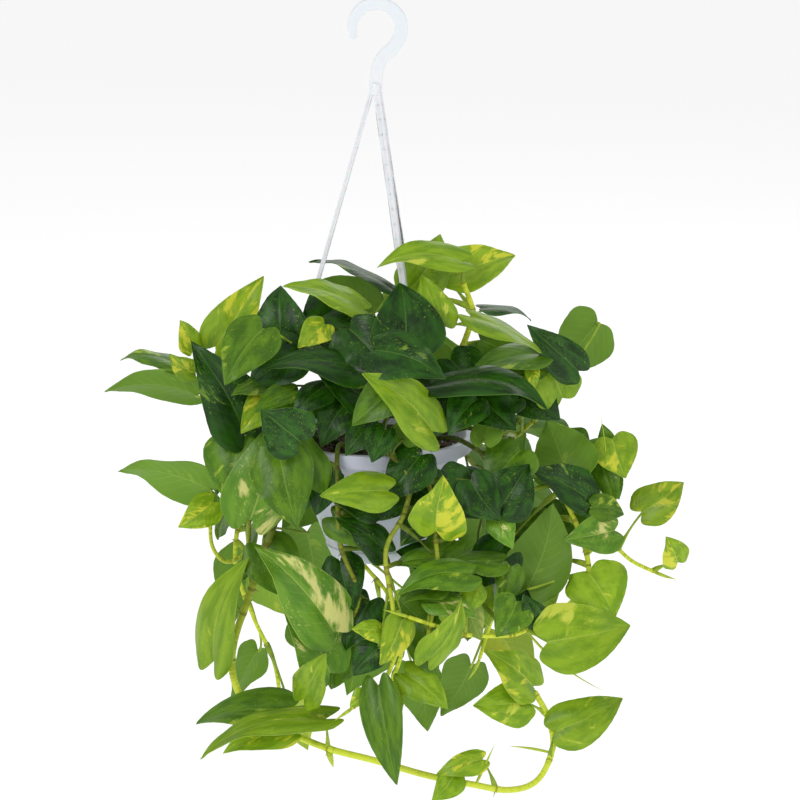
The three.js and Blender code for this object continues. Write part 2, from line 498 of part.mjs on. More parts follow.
function hookPlate() {
  const steps = 40;
  const inner = [];
  const outer = [];
  for (let i = 0; i <= steps; i++) {
    const t = i / steps;
    const before = hookMiddle(Math.max(0, t - 0.01));
    const after = hookMiddle(Math.min(1, t + 0.01));
    const across = after.sub(before).normalize().rotateAround(new THREE.Vector2(), Math.PI / 2);
    const middle = hookMiddle(t);
    outer.push(middle.clone().addScaledVector(across, hookWidth(t) / 2));
    inner.push(middle.clone().addScaledVector(across, -hookWidth(t) / 2));
  }
  const tipRound = [];
  for (let i = 1; i < 5; i++) {
    const turned = outer[0].clone().rotateAround(hookMiddle(0), (Math.PI * i) / 5);
    tipRound.push(turned);
  }
  const plate = new THREE.Shape([...outer.reverse(), ...tipRound, ...inner]);
  const depth = HOOK_THICKNESS;
  return new THREE.ExtrudeGeometry(plate, { depth, bevelEnabled: false })
    .rotateX(Math.PI / 2)
    .translate(0, depth / 2, 0);
}

// A straight bar from one point to another: its section's x lies along side and its y outwards.
function bar(section, from, to, outward) {
  const along = to.clone().sub(from);
  const length = along.length();
  along.normalize();
  const side = outward.clone().cross(along).normalize();
  const face = along.clone().cross(side);
  const placed = new THREE.Matrix4().makeBasis(side, face, along).setPosition(from);
  return new THREE.ExtrudeGeometry(section, { depth: length, bevelEnabled: false }).applyMatrix4(placed);
}

function armBody(angle) {
  const outward = heading(angle);
  const w = ARM_WIDTH / 2;
  const r = ARM_RIB_WIDTH / 2;
  const flat = -ARM_THICKNESS / 2;
  const rib = flat + ARM_THICKNESS + ARM_RIB_HEIGHT;
  const section = new THREE.Shape([
    [-w, flat], [w, flat], [w, -flat], [r, -flat], [r, rib], [-r, rib], [-r, -flat], [-w, -flat],
  ].map(([x, y]) => new THREE.Vector2(x, y)));
  const clipRadius = POT_RIM_RADIUS + GAP;
  const shoulder = RIM_TOP + 6;
  const top = outward.clone().multiplyScalar(HUB_RADIUS * 0.35).setZ(HUB_TOP - HUB_HEIGHT * 0.6);
  const foot = outward.clone().multiplyScalar(clipRadius + CLIP_THICKNESS / 2).setZ(shoulder);
  const arm = solid(bar(section, top, foot, outward));
  // The clip: a tab down the outside of the skirt with a lip that turns in under it.
  const lipTop = RIM_BAND_BOTTOM - GAP;
  const lipBottom = lipTop - CLIP_THICKNESS;
  const tab = new THREE.BoxGeometry(CLIP_THICKNESS, ARM_WIDTH, shoulder + 3 - lipBottom);
  tab.translate(clipRadius + CLIP_THICKNESS / 2, 0, (shoulder + 3 + lipBottom) / 2);
  const lip = new THREE.BoxGeometry(CLIP_THICKNESS + CLIP_LIP, ARM_WIDTH, CLIP_THICKNESS);
  lip.translate(clipRadius + (CLIP_THICKNESS - CLIP_LIP) / 2, 0, (lipTop + lipBottom) / 2);
  const clip = solid(tab).add(solid(lip)).rotate([0, 0, -angle]);
  return arm.add(clip);
}

function hangerBody() {
  const hub = new THREE.CylinderGeometry(HUB_RADIUS * 0.7, HUB_RADIUS, HUB_HEIGHT, 16);
  hub.rotateX(Math.PI / 2).translate(0, 0, HUB_TOP - HUB_HEIGHT / 2);
  let body = solid(hookPlate()).add(solid(hub));
  for (const angle of ARM_ANGLES) body = body.add(armBody(angle));
  return body;
}

// ---- Vines and leaves ----

function vineCurve(vine) {
  const [angle, radius] = vine.root;
  const share = (radius / PLACES_RIM_RADIUS) * POT_RIM_RADIUS;
  const root = heading(angle).multiplyScalar(share).setZ(SOIL_TOP + SOIL_CROWN + GAP);
  const sprout = root.clone().setZ(root.z + SPROUT_HEIGHT);
  const points = [root, sprout];
  if (vine.over !== undefined) {
    const lift = vine.radius + GAP;
    const inside = wallRadiusAt(RIM_TOP) - POT_WALL - 12;
    points.push(heading(vine.over).multiplyScalar(inside).setZ(RIM_TOP + lift + 3));
    points.push(heading(vine.over).multiplyScalar(POT_RIM_RADIUS + 4).setZ(RIM_TOP + lift + 4));
  }
  points.push(...vine.route.map(place));
  return new THREE.CatmullRomCurve3(points, false, 'catmullrom', 0.5);
}

function stemSteps(curve) {
  return (curve.points.length - 1) * STEM_STEPS;
}

// The blade's own directions at its base: along it, to its right-hand side and out of its face.
function bladeFrame(base, tip, roll) {
  const along = tip.clone().sub(base).normalize();
  const front = new THREE.Vector3(0, -Math.cos(SHEET_LEAN), Math.sin(SHEET_LEAN));
  front.addScaledVector(along, -front.dot(along)).normalize();
  const right = along.clone().cross(front);
  const turn = THREE.MathUtils.degToRad(roll);
  const face = front.clone().multiplyScalar(Math.cos(turn)).addScaledVector(right, Math.sin(turn));
  return { along, face, side: along.clone().cross(face) };
}

// A heart-shaped blade. The outline's points are shares of the length and of the half width.
function bladeBody(base, tip, width, frame) {
  const length = base.distanceTo(tip);
  const edge = [[-0.1, 0.55], [0.24, 1.08], [0.66, 0.78]];
  const rib = [[0, 0], [0.24, 0], [0.66, 0], [1, 0]];
  const outline = [...rib, ...edge, ...edge.map(([u, v]) => [u, -v])];
  const layer = (offset) => outline.map(([u, v]) => {
    const bow = BLADE_BOW * 4 * u * (1 - u) * length;
    const fold = (BLADE_FOLD * Math.abs(v) * width) / 2;
    return base.clone()
      .addScaledVector(frame.along, u * length)
      .addScaledVector(frame.side, (v * width) / 2)
      .addScaledVector(frame.face, bow + fold + offset);
  });
  const points = [...layer(BLADE_THICKNESS / 2), ...layer(-BLADE_THICKNESS / 2)];
  const half = [[0, 4, 5], [0, 5, 1], [1, 5, 6], [1, 6, 2], [2, 6, 3]];
  const other = (i) => (i > 3 ? i + 3 : i);
  const upper = [...half, ...half.map(([a, b, c]) => [other(a), other(c), other(b)])];
  const rimOrder = [0, 7, 8, 9, 3, 6, 5, 4];
  const faces = [];
  for (const [a, b, c] of upper) faces.push(a, b, c, a + 10, c + 10, b + 10);
  rimOrder.forEach((a, i) => {
    const b = rimOrder[(i + 1) % rimOrder.length];
    faces.push(a, b, b + 10, a, b + 10, a + 10);
  });
  const geometry = new THREE.BufferGeometry().setFromPoints(points);
  geometry.setIndex(faces);
  return solid(geometry);
}

// The stalk rises from the stem and meets the blade from underneath. It runs into the midrib of a
// blade that is joined to it, and stops short of one with a node of its own.
function petioleBody(from, base, frame, joinedOn) {
  const below = BLADE_THICKNESS / 2 + GAP + PETIOLE_RADIUS * 0.6;
  const end = base.clone();
  if (joinedOn) end.addScaledVector(frame.along, SEAT).addScaledVector(frame.face, SEAT * BLADE_BOW * 4);
  else end.addScaledVector(frame.face, -below);
  const span = from.distanceTo(base);
  const under = end.clone().addScaledVector(frame.face, -0.16 * span);
  under.addScaledVector(frame.along, -0.1 * span);
  const rise = from.clone().lerp(under, 0.4);
  rise.z += 0.12 * span;
  const curve = new THREE.CubicBezierCurve3(from, rise, under, end);
  const steps = PETIOLE_STEPS + Math.floor(span / PETIOLE_LONG);
  return solid(tube(curve, PETIOLE_RADIUS, PETIOLE_SIDES, steps));
}

// The separate outer shells of a body.
function shells(body) {
  return body.decompose().filter((shell) => shell.volume() > 0);
}

function boxesMeet(a, b) {
  return [0, 1, 2].every((k) => a.min[k] - GAP < b.max[k] && b.min[k] - GAP < a.max[k]);
}

class Assembly {
  constructor() {
    this.pieces = []; // { owner, body, box }
  }

  put(owner, ...bodies) {
    for (const body of bodies) this.pieces.push({ owner, body, box: body.boundingBox() });
  }

  isClear(body, owner) {
    const box = body.boundingBox();
    return this.pieces.every((piece) => piece.owner === owner || !boxesMeet(piece.box, box)
      || body.minGap(piece.body, GAP) > GAP * 0.6);
  }

  // One node's pieces as one solid. A pocket that crossing pieces seal off is filled.
  joined(owner) {
    const own = this.pieces.filter((piece) => piece.owner === owner);
    const whole = Manifold.union(own.map((piece) => piece.body)).simplify(FINEST);
    return Manifold.compose(shells(whole));
  }
}

// Where a leaf may go to stay clear, nearest first: how far it moves in or out, and how far its
// stalk's start slides along the vine.
function* tries() {
  for (let i = 0; i <= NUDGES; i++) {
    for (const nudge of i ? [i * NUDGE_STEP, -i * NUDGE_STEP] : [0]) {
      for (const slide of STALK_SLIDES) yield { nudge, slide };
    }
  }
}

function moved([across, drop, out], nudge) {
  return [across, drop, out + nudge];
}

// The section of the vine's tube nearest to a point that is counted in places from the sprout.
function stalkStart(curve, at) {
  const last = curve.points.length - 1;
  const wanted = curve.getPoint(THREE.MathUtils.clamp((at + 1) / last, 0, 1));
  const sections = curve.getSpacedPoints(stemSteps(curve)).slice(1, -1);
  return sections.reduce((a, b) => (b.distanceTo(wanted) < a.distanceTo(wanted) ? b : a));
}

// Adds a leaf and its stalk where they touch nothing of another node.
function addLeaf(assembly, curve, leaf, vineNode, leafNode) {
  const [, at, base, tip, width, roll] = leaf;
  const joinedOn = leafNode === vineNode;
  for (const { nudge, slide } of tries()) {
    const from = stalkStart(curve, at + slide);
    const [foot, end] = [place(moved(base, nudge)), place(moved(tip, nudge))];
    const frame = bladeFrame(foot, end, roll);
    const blade = bladeBody(foot, end, width, frame);
    const petiole = petioleBody(from, foot, frame, joinedOn);
    const meets = joinedOn
      ? shells(petiole.add(blade)).length === 1
      : petiole.minGap(blade, GAP) > GAP * 0.6;
    const clear = meets && assembly.isClear(petiole, vineNode) && assembly.isClear(blade, leafNode);
    if (clear) {
      assembly.put(vineNode, petiole);
      assembly.put(leafNode, blade);
      return;
    }
  }
  throw new Error(`no clear place for a leaf on ${vineNode} at ${base}`);
}

// ---- Assembly ----

const group = new THREE.Group();

function addNode(name, body, finish) {
  const { color, roughness } = FINISHES[finish];
  const material = new THREE.MeshStandardMaterial({ color, roughness, metalness: 0 });
  const mesh = new THREE.Mesh(geometryOf(body), material);
  mesh.name = name;
  group.add(mesh);
}

const assembly = new Assembly();
assembly.put('pot', potBody());
assembly.put('potting_soil', soilBody());
assembly.put('hanger', hangerBody());

const curves = {};
for (const [name, vine] of Object.entries(VINES)) {
  curves[name] = vineCurve(vine);
  const stem = tube(curves[name], vine.radius, STEM_SIDES, stemSteps(curves[name]));
  assembly.put(`vine_${name}`, solid(stem));
}

const leafNodes = new Map();
for (const leaf of LEAVES) {
  const [vine, , , , , , tone, apart] = leaf;
  const vineNode = `vine_${vine}`;
  const leafNode = apart ? `leaf_${String(leafNodes.size + 1).padStart(2, '0')}` : vineNode;
  if (apart) leafNodes.set(leafNode, tone);
  addLeaf(assembly, curves[vine], leaf, vineNode, leafNode);
}

addNode('pot', assembly.joined('pot'), 'plastic');
addNode('potting_soil', assembly.joined('potting_soil'), 'soil');
addNode('hanger', assembly.joined('hanger'), 'plastic');
for (const name of Object.keys(VINES)) addNode(`vine_${name}`, assembly.joined(`vine_${name}`), 'stem');
for (const [name, tone] of leafNodes) addNode(name, assembly.joined(name), tone);

export default group;
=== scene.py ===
"""A golden pothos in a hanging pot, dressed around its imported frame.

Lengths in the tables are millimetres and everything that is built is in metres, with +Z up, +X to
the right and -Y to the front. The origin is the top of the inside of the hook.
"""

import logging
import math
import random
from dataclasses import dataclass, field
from enum import Enum
from typing import Any, Callable, Iterable, Sequence

import bmesh
import bpy
from mathutils import Matrix, Vector, noise


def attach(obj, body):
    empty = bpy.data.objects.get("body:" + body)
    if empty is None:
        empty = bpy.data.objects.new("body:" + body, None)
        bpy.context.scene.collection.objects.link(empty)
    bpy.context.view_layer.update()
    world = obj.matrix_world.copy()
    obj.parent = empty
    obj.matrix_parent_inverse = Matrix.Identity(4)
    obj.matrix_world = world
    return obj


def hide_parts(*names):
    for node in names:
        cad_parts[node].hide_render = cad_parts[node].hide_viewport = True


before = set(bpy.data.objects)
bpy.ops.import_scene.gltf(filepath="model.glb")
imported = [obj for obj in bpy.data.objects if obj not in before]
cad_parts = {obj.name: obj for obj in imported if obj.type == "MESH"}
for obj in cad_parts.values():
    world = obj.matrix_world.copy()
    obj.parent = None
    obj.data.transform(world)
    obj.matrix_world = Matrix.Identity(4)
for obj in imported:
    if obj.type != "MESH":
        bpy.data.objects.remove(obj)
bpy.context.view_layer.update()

LOG = logging.getLogger("pothos")
MM = 0.001
SHEET_LEAN = math.radians(14)
UP = Vector((0, 0, 1))
RIM_TOP = -433.0
POT_HEIGHT = 124.0
RIM_RADIUS = 97.0
POT_BASE_RADIUS = 45.0
SOIL_TOP = RIM_TOP - 12.0
SOIL_CROWN = 5.0
WALL_TOP_RADIUS = 92.0
POT_WALL = 2.0

Triple = tuple[float, float, float]
Colour = tuple[float, float, float, float]


def place(spot: Triple) -> Vector:
    """The point, in metres, of a place on the plant.

    Args:
        spot: [across, drop, out] in millimetres, on a sheet that leans back.

    Returns:
        The point in the part's frame.
    """
    across, drop, out = spot
    z = -drop / math.cos(SHEET_LEAN) + out * math.tan(SHEET_LEAN)
    return Vector((across, -out, z)) * MM


def heading(degrees: float) -> Vector:
    """A level direction about the pot's axis, from +X towards the front."""
    angle = math.radians(degrees)
    return Vector((math.cos(angle), -math.sin(angle), 0))


def tint(red: int, green: int, blue: int) -> Colour:
    """A linear colour from its usual screen numbers, 0 to 255."""

    def linear(value: int) -> float:
        share = value / 255
        return share / 12.92 if share <= 0.04045 else ((share + 0.055) / 1.055) ** 2.4

    return (linear(red), linear(green), linear(blue), 1.0)


def blend(a: float, b: float, share: float) -> float:
    """The number a given share of the way from a to b."""
    return a + (b - a) * share


def ease(low: float, high: float, value: float) -> float:
    """A smooth step from 0 at low to 1 at high."""
    share = min(1.0, max(0.0, (value - low) / (high - low)))
    return share * share * (3 - 2 * share)


# ---- Shader graphs ----


class Field:
    """A socket of a shader graph. Arithmetic on it adds Math nodes."""

    def __init__(self, graph: "Graph", socket: bpy.types.NodeSocket) -> None:
        """Keeps the socket and the graph that it belongs to."""
        self.graph = graph
        self.socket = socket

    def _math(self, operation: str, *values: Any) -> "Field":
        """Adds a Math node with the given operation and inputs."""
        return self.graph.math(operation, *values)

    def __add__(self, other: Any) -> "Field":
        """Adds a number or another field."""
        return self._math("ADD", self, other)

    def __radd__(self, other: Any) -> "Field":
        """Adds this field to a number."""
        return self._math("ADD", other, self)

    def __sub__(self, other: Any) -> "Field":
        """Takes a number or another field away."""
        return self._math("SUBTRACT", self, other)

    def __rsub__(self, other: Any) -> "Field":
        """Takes this field away from a number."""
        return self._math("SUBTRACT", other, self)

    def __mul__(self, other: Any) -> "Field":
        """Multiplies by a number or another field."""
        return self._math("MULTIPLY", self, other)

    def __rmul__(self, other: Any) -> "Field":
        """Multiplies a number by this field."""
        return self._math("MULTIPLY", other, self)

    def __truediv__(self, other: Any) -> "Field":
        """Divides by a number or another field."""
        return self._math("DIVIDE", self, other)

    def absolute(self) -> "Field":
        """The size of the value without its sign."""
        return self._math("ABSOLUTE", self)

    def power(self, exponent: float) -> "Field":
        """The value raised to a power."""
        return self._math("POWER", self, exponent)

    def above(self, limit: Any) -> "Field":
        """1 where the value is above the limit and 0 elsewhere."""
        return self._math("GREATER_THAN", self, limit)

    def to_line(self) -> "Field":
        """The distance to the nearest whole number."""
        whole = self._math("ROUND", self)
        return (self - whole).absolute()

    def smooth(self, low: float, high: float) -> "Field":
        """A smooth step from 0 at low to 1 at high, or down if low is the higher."""
        up = low < high
        node = self.graph.node(
            "ShaderNodeMapRange",
            {"interpolation_type": "SMOOTHSTEP", "clamp": True},
            {0: self, 1: min(low, high), 2: max(low, high), 3: 0.0 if up else 1.0, 4: 1.0 if up else 0.0},
        )
        return Field(self.graph, node.outputs[0])


class Graph:
    """One material's node graph, ending in a Principled shader."""

    def __init__(self, name: str) -> None:
        """Makes the material and its shader."""
        self.material = bpy.data.materials.new(name)
        self.material.use_nodes = True
        self.tree = self.material.node_tree
        self.tree.nodes.clear()
        self.shader = self.node("ShaderNodeBsdfPrincipled", {}, {})
        output = self.node("ShaderNodeOutputMaterial", {}, {})
        self.tree.links.new(self.shader.outputs[0], output.inputs[0])

    def node(self, kind: str, settings: dict[str, Any], inputs: dict[Any, Any]) -> bpy.types.Node:
        """Adds a node.

        Args:
            kind: the node's type.
            settings: its properties, which are set first.
            inputs: values or fields for its sockets, by name or number.

        Returns:
            The node.
        """
        made = self.tree.nodes.new(kind)
        for key, value in settings.items():
            setattr(made, key, value)
        for key, value in inputs.items():
            if isinstance(value, Field):
                self.tree.links.new(value.socket, made.inputs[key])
            else:
                made.inputs[key].default_value = value
        return made

    def math(self, operation: str, *values: Any) -> Field:
        """Adds a Math node on numbers and fields."""
        made = self.node("ShaderNodeMath", {"operation": operation}, dict(enumerate(values)))
        return Field(self, made.outputs[0])

    def mix(self, share: Any, a: Any, b: Any) -> Field:
        """Mixes two colours."""
        made = self.node("ShaderNodeMix", {"data_type": "RGBA"}, {0: share, 6: a, 7: b})
        return Field(self, made.outputs[2])

    def vector(self, x: Any, y: Any, z: Any) -> Field:
        """Joins three values into a vector."""
        made = self.node("ShaderNodeCombineXYZ", {}, {0: x, 1: y, 2: z})
        return Field(self, made.outputs[0])

    def attribute(self, name: str) -> tuple[Field, Field, Field]:
        """The three numbers of a vector attribute of the piece."""
        made = self.node("ShaderNodeAttribute", {"attribute_name": name}, {})
        parts = self.node("ShaderNodeSeparateXYZ", {}, {0: Field(self, made.outputs["Vector"])})
        x, y, z = (Field(self, socket) for socket in parts.outputs)
        return x, y, z

    def spot(self) -> Field:
        """The piece's Object coordinates."""
        made = self.node("ShaderNodeTexCoord", {}, {})
        return Field(self, made.outputs["Object"])

    def stretched(self, vector: Field, scale: Triple) -> Field:
        """A vector with each direction scaled."""
        made = self.node("ShaderNodeMapping", {}, {0: vector, 3: scale})
        return Field(self, made.outputs[0])

    def away(self, vector: Field, middle: Triple) -> Field:
        """The distance from a place to a vector's end."""
        made = self.node("ShaderNodeVectorMath", {"operation": "DISTANCE"}, {0: vector, 1: middle})
        return Field(self, made.outputs["Value"])

    def noise(self, vector: Field, scale: float, detail: float = 3.0, rough: float = 0.55) -> Field:
        """Cloudy noise from 0 to 1."""
        made = self.node(
            "ShaderNodeTexNoise", {}, {"Vector": vector, "Scale": scale, "Detail": detail, "Roughness": rough}
        )
        return Field(self, made.outputs[0])

    def cells(self, vector: Field, scale: float) -> Field:
        """The distance to the nearest of a scatter of points."""
        made = self.node("ShaderNodeTexVoronoi", {}, {"Vector": vector, "Scale": scale})
        return Field(self, made.outputs[0])

    def bump(self, height: Field, strength: float, distance: float) -> None:
        """Feeds the shader's Normal from a height in a Bump node."""
        made = self.node("ShaderNodeBump", {}, {"Height": height, "Strength": strength, "Distance": distance})
        self.tree.links.new(made.outputs[0], self.shader.inputs["Normal"])

    def feed(self, **values: Any) -> bpy.types.Material:
        """Sets or links the shader's sockets, whose names are written with underscores."""
        for key, value in values.items():
            socket = self.shader.inputs[key.replace("_", " ").title().replace("Ior", "IOR")]
            if isinstance(value, Field):
                self.tree.links.new(value.socket, socket)
            else:
                socket.default_value = value
        return self.material


# ---- Finishes ----


class Tone(Enum):
    """The colouring of a leaf."""

    DARK = "leaf_dark"
    MID = "leaf_mid"
    BRIGHT = "leaf_bright"
    YELLOW = "leaf_yellow"
    CREAM = "leaf_cream"


@dataclass(frozen=True)
class LeafFinish:
    """A waxy variegated leaf. Reads the attributes blade and leaf of a Blade's mesh."""

    deep: Colour
    top: Colour
    vein: Colour
    under: Colour
    marbling: Colour
    marbled: float
    speckled: float
    roughness: float = 0.36

    def material(self, name: str) -> bpy.types.Material:
        """Builds the material."""
        g = Graph(name)
        across, along, side = g.attribute("blade")
        seed, light, share = g.attribute("leaf")
        out = across.absolute()
        right = across.above(0.0)
        # Side veins leave the midrib and sweep towards the tip.
        slope = along - out * (0.34 - along * 0.16)
        swell = ((slope + right * 0.045) * 9.0).to_line()
        ribs = swell.smooth(0.10, 0.0) * out.smooth(0.9, 0.4)
        midrib = out.smooth(0.035, 0.008)
        drift = seed * 17.0 + right * 5.0
        cloud = g.noise(g.vector(along * 2.2, out * 1.8, drift), 1.6, 2.0)
        body = g.mix(cloud.smooth(0.32, 0.68), self.deep, self.top)
        # Marbling runs out along the side veins in torn patches.
        streak = g.noise(g.vector(slope * 7.0, out * 1.4, drift + 3.0), 1.0, 5.0, 0.62)
        patch = g.noise(g.vector(slope * 2.0, out * 0.9, drift + 9.0), 1.0, 2.0)
        level = streak * 0.5 + patch * 0.5 + (right - 0.5) * (share - 0.5) * 0.34
        torn = level.smooth(0.60 - self.marbled * 0.20, 0.68 - self.marbled * 0.20)
        flecks = g.noise(g.vector(slope * 46.0, out * 12.0, drift + 1.0), 1.0, 2.0)
        specks = flecks.smooth(0.60, 0.72) * patch.smooth(0.40, 0.6) * self.speckled
        body = g.mix(torn * 0.88, body, self.marbling)
        body = g.mix(specks, body, self.marbling)
        body = g.mix(ribs * 0.10, body, self.vein)
        body = g.mix(midrib * 0.45, body, self.vein)
        margin = out.smooth(0.965, 0.998)
        body = g.mix(margin * 0.3, body, self.vein)
        below = g.mix(cloud * 0.5, self.under, self.top)
        below = g.mix(torn * 0.4, below, self.marbling)
        below = g.mix(ribs * 0.35 + midrib * 0.6, below, self.vein)
        colour = g.mix(side.smooth(0.35, 0.65), body, below)
        # Each leaf is a little lighter or darker than the next.
        tone = g.node("ShaderNodeHueSaturation", {}, {"Value": light * 0.5 + 0.75, "Color": colour})
        dust = g.noise(g.spot(), 160.0, 3.0)
        quilt = swell.smooth(0.0, 0.5)
        relief = quilt * 0.5 * out.smooth(0.0, 0.2) - midrib * 0.9 + dust * 0.12
        g.bump(relief, 0.22, 0.0009)
        return g.feed(
            base_color=Field(g, tone.outputs[0]),
            roughness=side * 0.16 + dust * 0.12 + (self.roughness - 0.06),
            specular_ior_level=0.24,
            coat_weight=side * -0.08 + 0.10,
            coat_roughness=0.2,
        )


LEAF_FINISHES = {
    Tone.DARK: LeafFinish(
        deep=tint(16, 54, 2), top=tint(42, 92, 10), vein=tint(96, 140, 40), under=tint(98, 138, 48),
        marbling=tint(140, 172, 56), marbled=-0.24, speckled=0.7,
    ),
    Tone.MID: LeafFinish(
        deep=tint(68, 110, 14), top=tint(98, 140, 24), vein=tint(140, 176, 66), under=tint(112, 152, 50),
        marbling=tint(176, 200, 66), marbled=-0.04, speckled=0.5,
    ),
    Tone.BRIGHT: LeafFinish(
        deep=tint(112, 152, 18), top=tint(144, 180, 32), vein=tint(184, 208, 84), under=tint(140, 176, 60),
        marbling=tint(208, 218, 78), marbled=0.04, speckled=0.5,
    ),
    Tone.YELLOW: LeafFinish(
        deep=tint(118, 158, 24), top=tint(150, 184, 36), vein=tint(210, 218, 96), under=tint(164, 188, 70),
        marbling=tint(218, 220, 62), marbled=0.40, speckled=0.6,
    ),
    Tone.CREAM: LeafFinish(
        deep=tint(86, 136, 28), top=tint(114, 160, 42), vein=tint(200, 210, 112), under=tint(152, 180, 80),
        marbling=tint(230, 228, 140), marbled=0.20, speckled=0.6,
    ),
}


@dataclass(frozen=True)
class StemFinish:
    """A green stem that turns brown and corky at its nodes, with painted shade deep inside the plant. Reads the
    attributes growth and bark.
    """

    # The middle of the painted shade inside the plant.
    heart: Triple

    # The old stems' colour, which also paints the shade deep inside the plant.
    old_and_shade: Colour = tint(36, 62, 16)
    young: Colour = tint(218, 232, 66)
    stalk: Colour = tint(116, 158, 50)
    cork: Colour = tint(92, 66, 36)

    def material(self, name: str) -> bpy.types.Material:
        """Builds the material."""
        g = Graph(name)
        age, run, turn = g.attribute("growth")
        bark, is_stalk, seed = g.attribute("bark")
        lines = g.noise(g.vector(run * 22.0, turn * 9.0, seed * 11.0), 1.0, 4.0, 0.65)
        spot = g.spot()
        cloud = g.noise(spot, 60.0, 3.0)
        # Painted shade: the stalks deep inside the plant are painted darker, towards the old stems' colour, than those
        # outside it.
        outside = g.away(spot, self.heart).smooth(0.11, 0.20)
        green = g.mix(age.smooth(0.05, 0.6), self.old_and_shade, self.young)
        green = g.mix(is_stalk * (0.45 + cloud * 0.4), green, self.stalk)
        green = g.mix(lines.smooth(0.45, 0.75) * 0.25, green, self.young)
        green = g.mix((1 - outside) * 0.7, green, self.old_and_shade)
        scar = (bark + (cloud - 0.5) * 0.5).smooth(0.45, 0.85)
        colour = g.mix(scar * 0.55, green, self.cork)
        g.bump(lines * 0.5 + cloud * 0.3 + scar * 0.4, 0.3, 0.0005)
        return g.feed(
            base_color=colour,
            roughness=scar * 0.35 + 0.36 + lines * 0.1,
            specular_ior_level=0.3,
        )


@dataclass(frozen=True)
class PlasticFinish:
    """Thin white moulded plastic with faint flow marks, scuffs and dust."""

    white: Colour
    shade: Colour
    dirt: Colour = tint(168, 158, 140)
    roughness: float = 0.34

    def material(self, name: str) -> bpy.types.Material:
        """Builds the material."""
        g = Graph(name)
        spot = g.spot()
        cloud = g.noise(spot, 14.0, 3.0)
        flow = g.noise(g.stretched(spot, (30.0, 30.0, 260.0)), 1.0, 3.0)
        scuff = g.noise(g.stretched(spot, (220.0, 60.0, 700.0)), 1.0, 5.0, 0.7).smooth(0.62, 0.74)
        grime = g.noise(spot, 42.0, 6.0, 0.7).smooth(0.60, 0.82)
        # Painted shade: cloudy patches take on up to three quarters of the shade colour, the plastic's look in shadow.
        colour = g.mix(cloud * 0.75, self.white, self.shade)
        colour = g.mix(grime * 0.28, colour, self.dirt)
        colour = g.mix(scuff * 0.18, colour, self.dirt)
        pebble = g.noise(spot, 900.0, 2.0)
        g.bump(flow * 0.4 + pebble * 0.25 - scuff * 0.5, 0.12, 0.0006)
        return g.feed(
            base_color=colour,
            roughness=cloud * 0.12 + scuff * 0.25 + (self.roughness - 0.06),
            subsurface_weight=0.15,
            subsurface_scale=0.002,
            coat_weight=0.15,
            coat_roughness=0.15,
        )


@dataclass(frozen=True)
class SoilFinish:
    """Dark fibrous potting soil."""

    wet: Colour = tint(34, 24, 18)
    dry: Colour = tint(88, 64, 46)
    fibre: Colour = tint(128, 96, 66)

    def material(self, name: str) -> bpy.types.Material:
        """Builds the material."""
        g = Graph(name)
        spot = g.spot()
        lump = g.noise(spot, 110.0, 6.0, 0.7)
        grain = g.cells(spot, 420.0)
        strand = g.noise(g.stretched(spot, (900.0, 140.0, 300.0)), 1.0, 4.0).smooth(0.62, 0.72)
        colour = g.mix(lump.smooth(0.35, 0.7), self.wet, self.dry)
        colour = g.mix(strand * 0.6, colour, self.fibre)
        g.bump(lump * 0.8 + grain * 0.5, 0.8, 0.002)
        return g.feed(base_color=colour, roughness=lump * 0.15 + 0.8)


@dataclass(frozen=True)
class CrumbFinish:
    """Bark chips and white perlite. Reads the attribute crumb of the crumbs' mesh."""

    bark: Colour = tint(96, 64, 42)
    char: Colour = tint(40, 28, 20)
    perlite: Colour = tint(222, 216, 204)

    def material(self, name: str) -> bpy.types.Material:
        """Builds the material."""
        g = Graph(name)
        pale, dark, _ = g.attribute("crumb")
        grain = g.noise(g.spot(), 380.0, 5.0, 0.7)
        colour = g.mix(dark * 0.7 + grain * 0.3, self.bark, self.char)
        colour = g.mix(pale, colour, self.perlite)
        g.bump(grain, 0.7, 0.001)
        return g.feed(base_color=colour, roughness=grain * 0.2 + 0.7)


# ---- Mesh tools ----


@dataclass(frozen=True)
class Station:
    """One section of a sweep: its middle and the two directions that its outline is drawn along."""

    middle: Vector
    x: Vector
    y: Vector

    def put(self, spot: tuple[float, float]) -> Vector:
        """The point of a place on the section's outline."""
        return self.middle + self.x * spot[0] + self.y * spot[1]


Mark = Callable[[bmesh.types.BMVert, int], None]


def ring(sides: int) -> list[tuple[float, float]]:
    """A round outline of radius 1."""
    return [(math.cos(2 * math.pi * i / sides), math.sin(2 * math.pi * i / sides)) for i in range(sides)]


def sweep(
    bm: bmesh.types.BMesh,
    stations: Sequence[Station],
    outline: Sequence[tuple[float, float]],
    mark: Mark | None = None,
) -> None:
    """Extrudes an outline through the stations, as one closed body.

    Args:
        bm: the mesh that it is added to.
        stations: the sections, first to last.
        outline: the section's corners, anticlockwise about the way of the sweep.
        mark: called with each corner and its station's number.
    """
    corner = bm.verts.layers.int.get("corner") or bm.verts.layers.int.new("corner")
    circle = bmesh.ops.create_circle(bm, cap_ends=True, radius=1, segments=len(outline))
    verts = circle["verts"]
    for i, vert in enumerate(verts):
        vert[corner] = i
    face = next(iter(set(verts[0].link_faces)))
    made = set(verts)
    for number, station in enumerate(stations):
        if number:
            grown = bmesh.ops.extrude_face_region(bm, geom=[face])["geom"]
            verts = [item for item in grown if isinstance(item, bmesh.types.BMVert)]
            face = next(item for item in grown if isinstance(item, bmesh.types.BMFace))
            made.update(verts)
        for vert in verts:
            vert.co = station.put(outline[vert[corner]])
            if mark:
                mark(vert, number)
    faces = list({item for vert in made for item in vert.link_faces})
    for item in faces:
        item.smooth = True
    bmesh.ops.recalc_face_normals(bm, faces=faces)


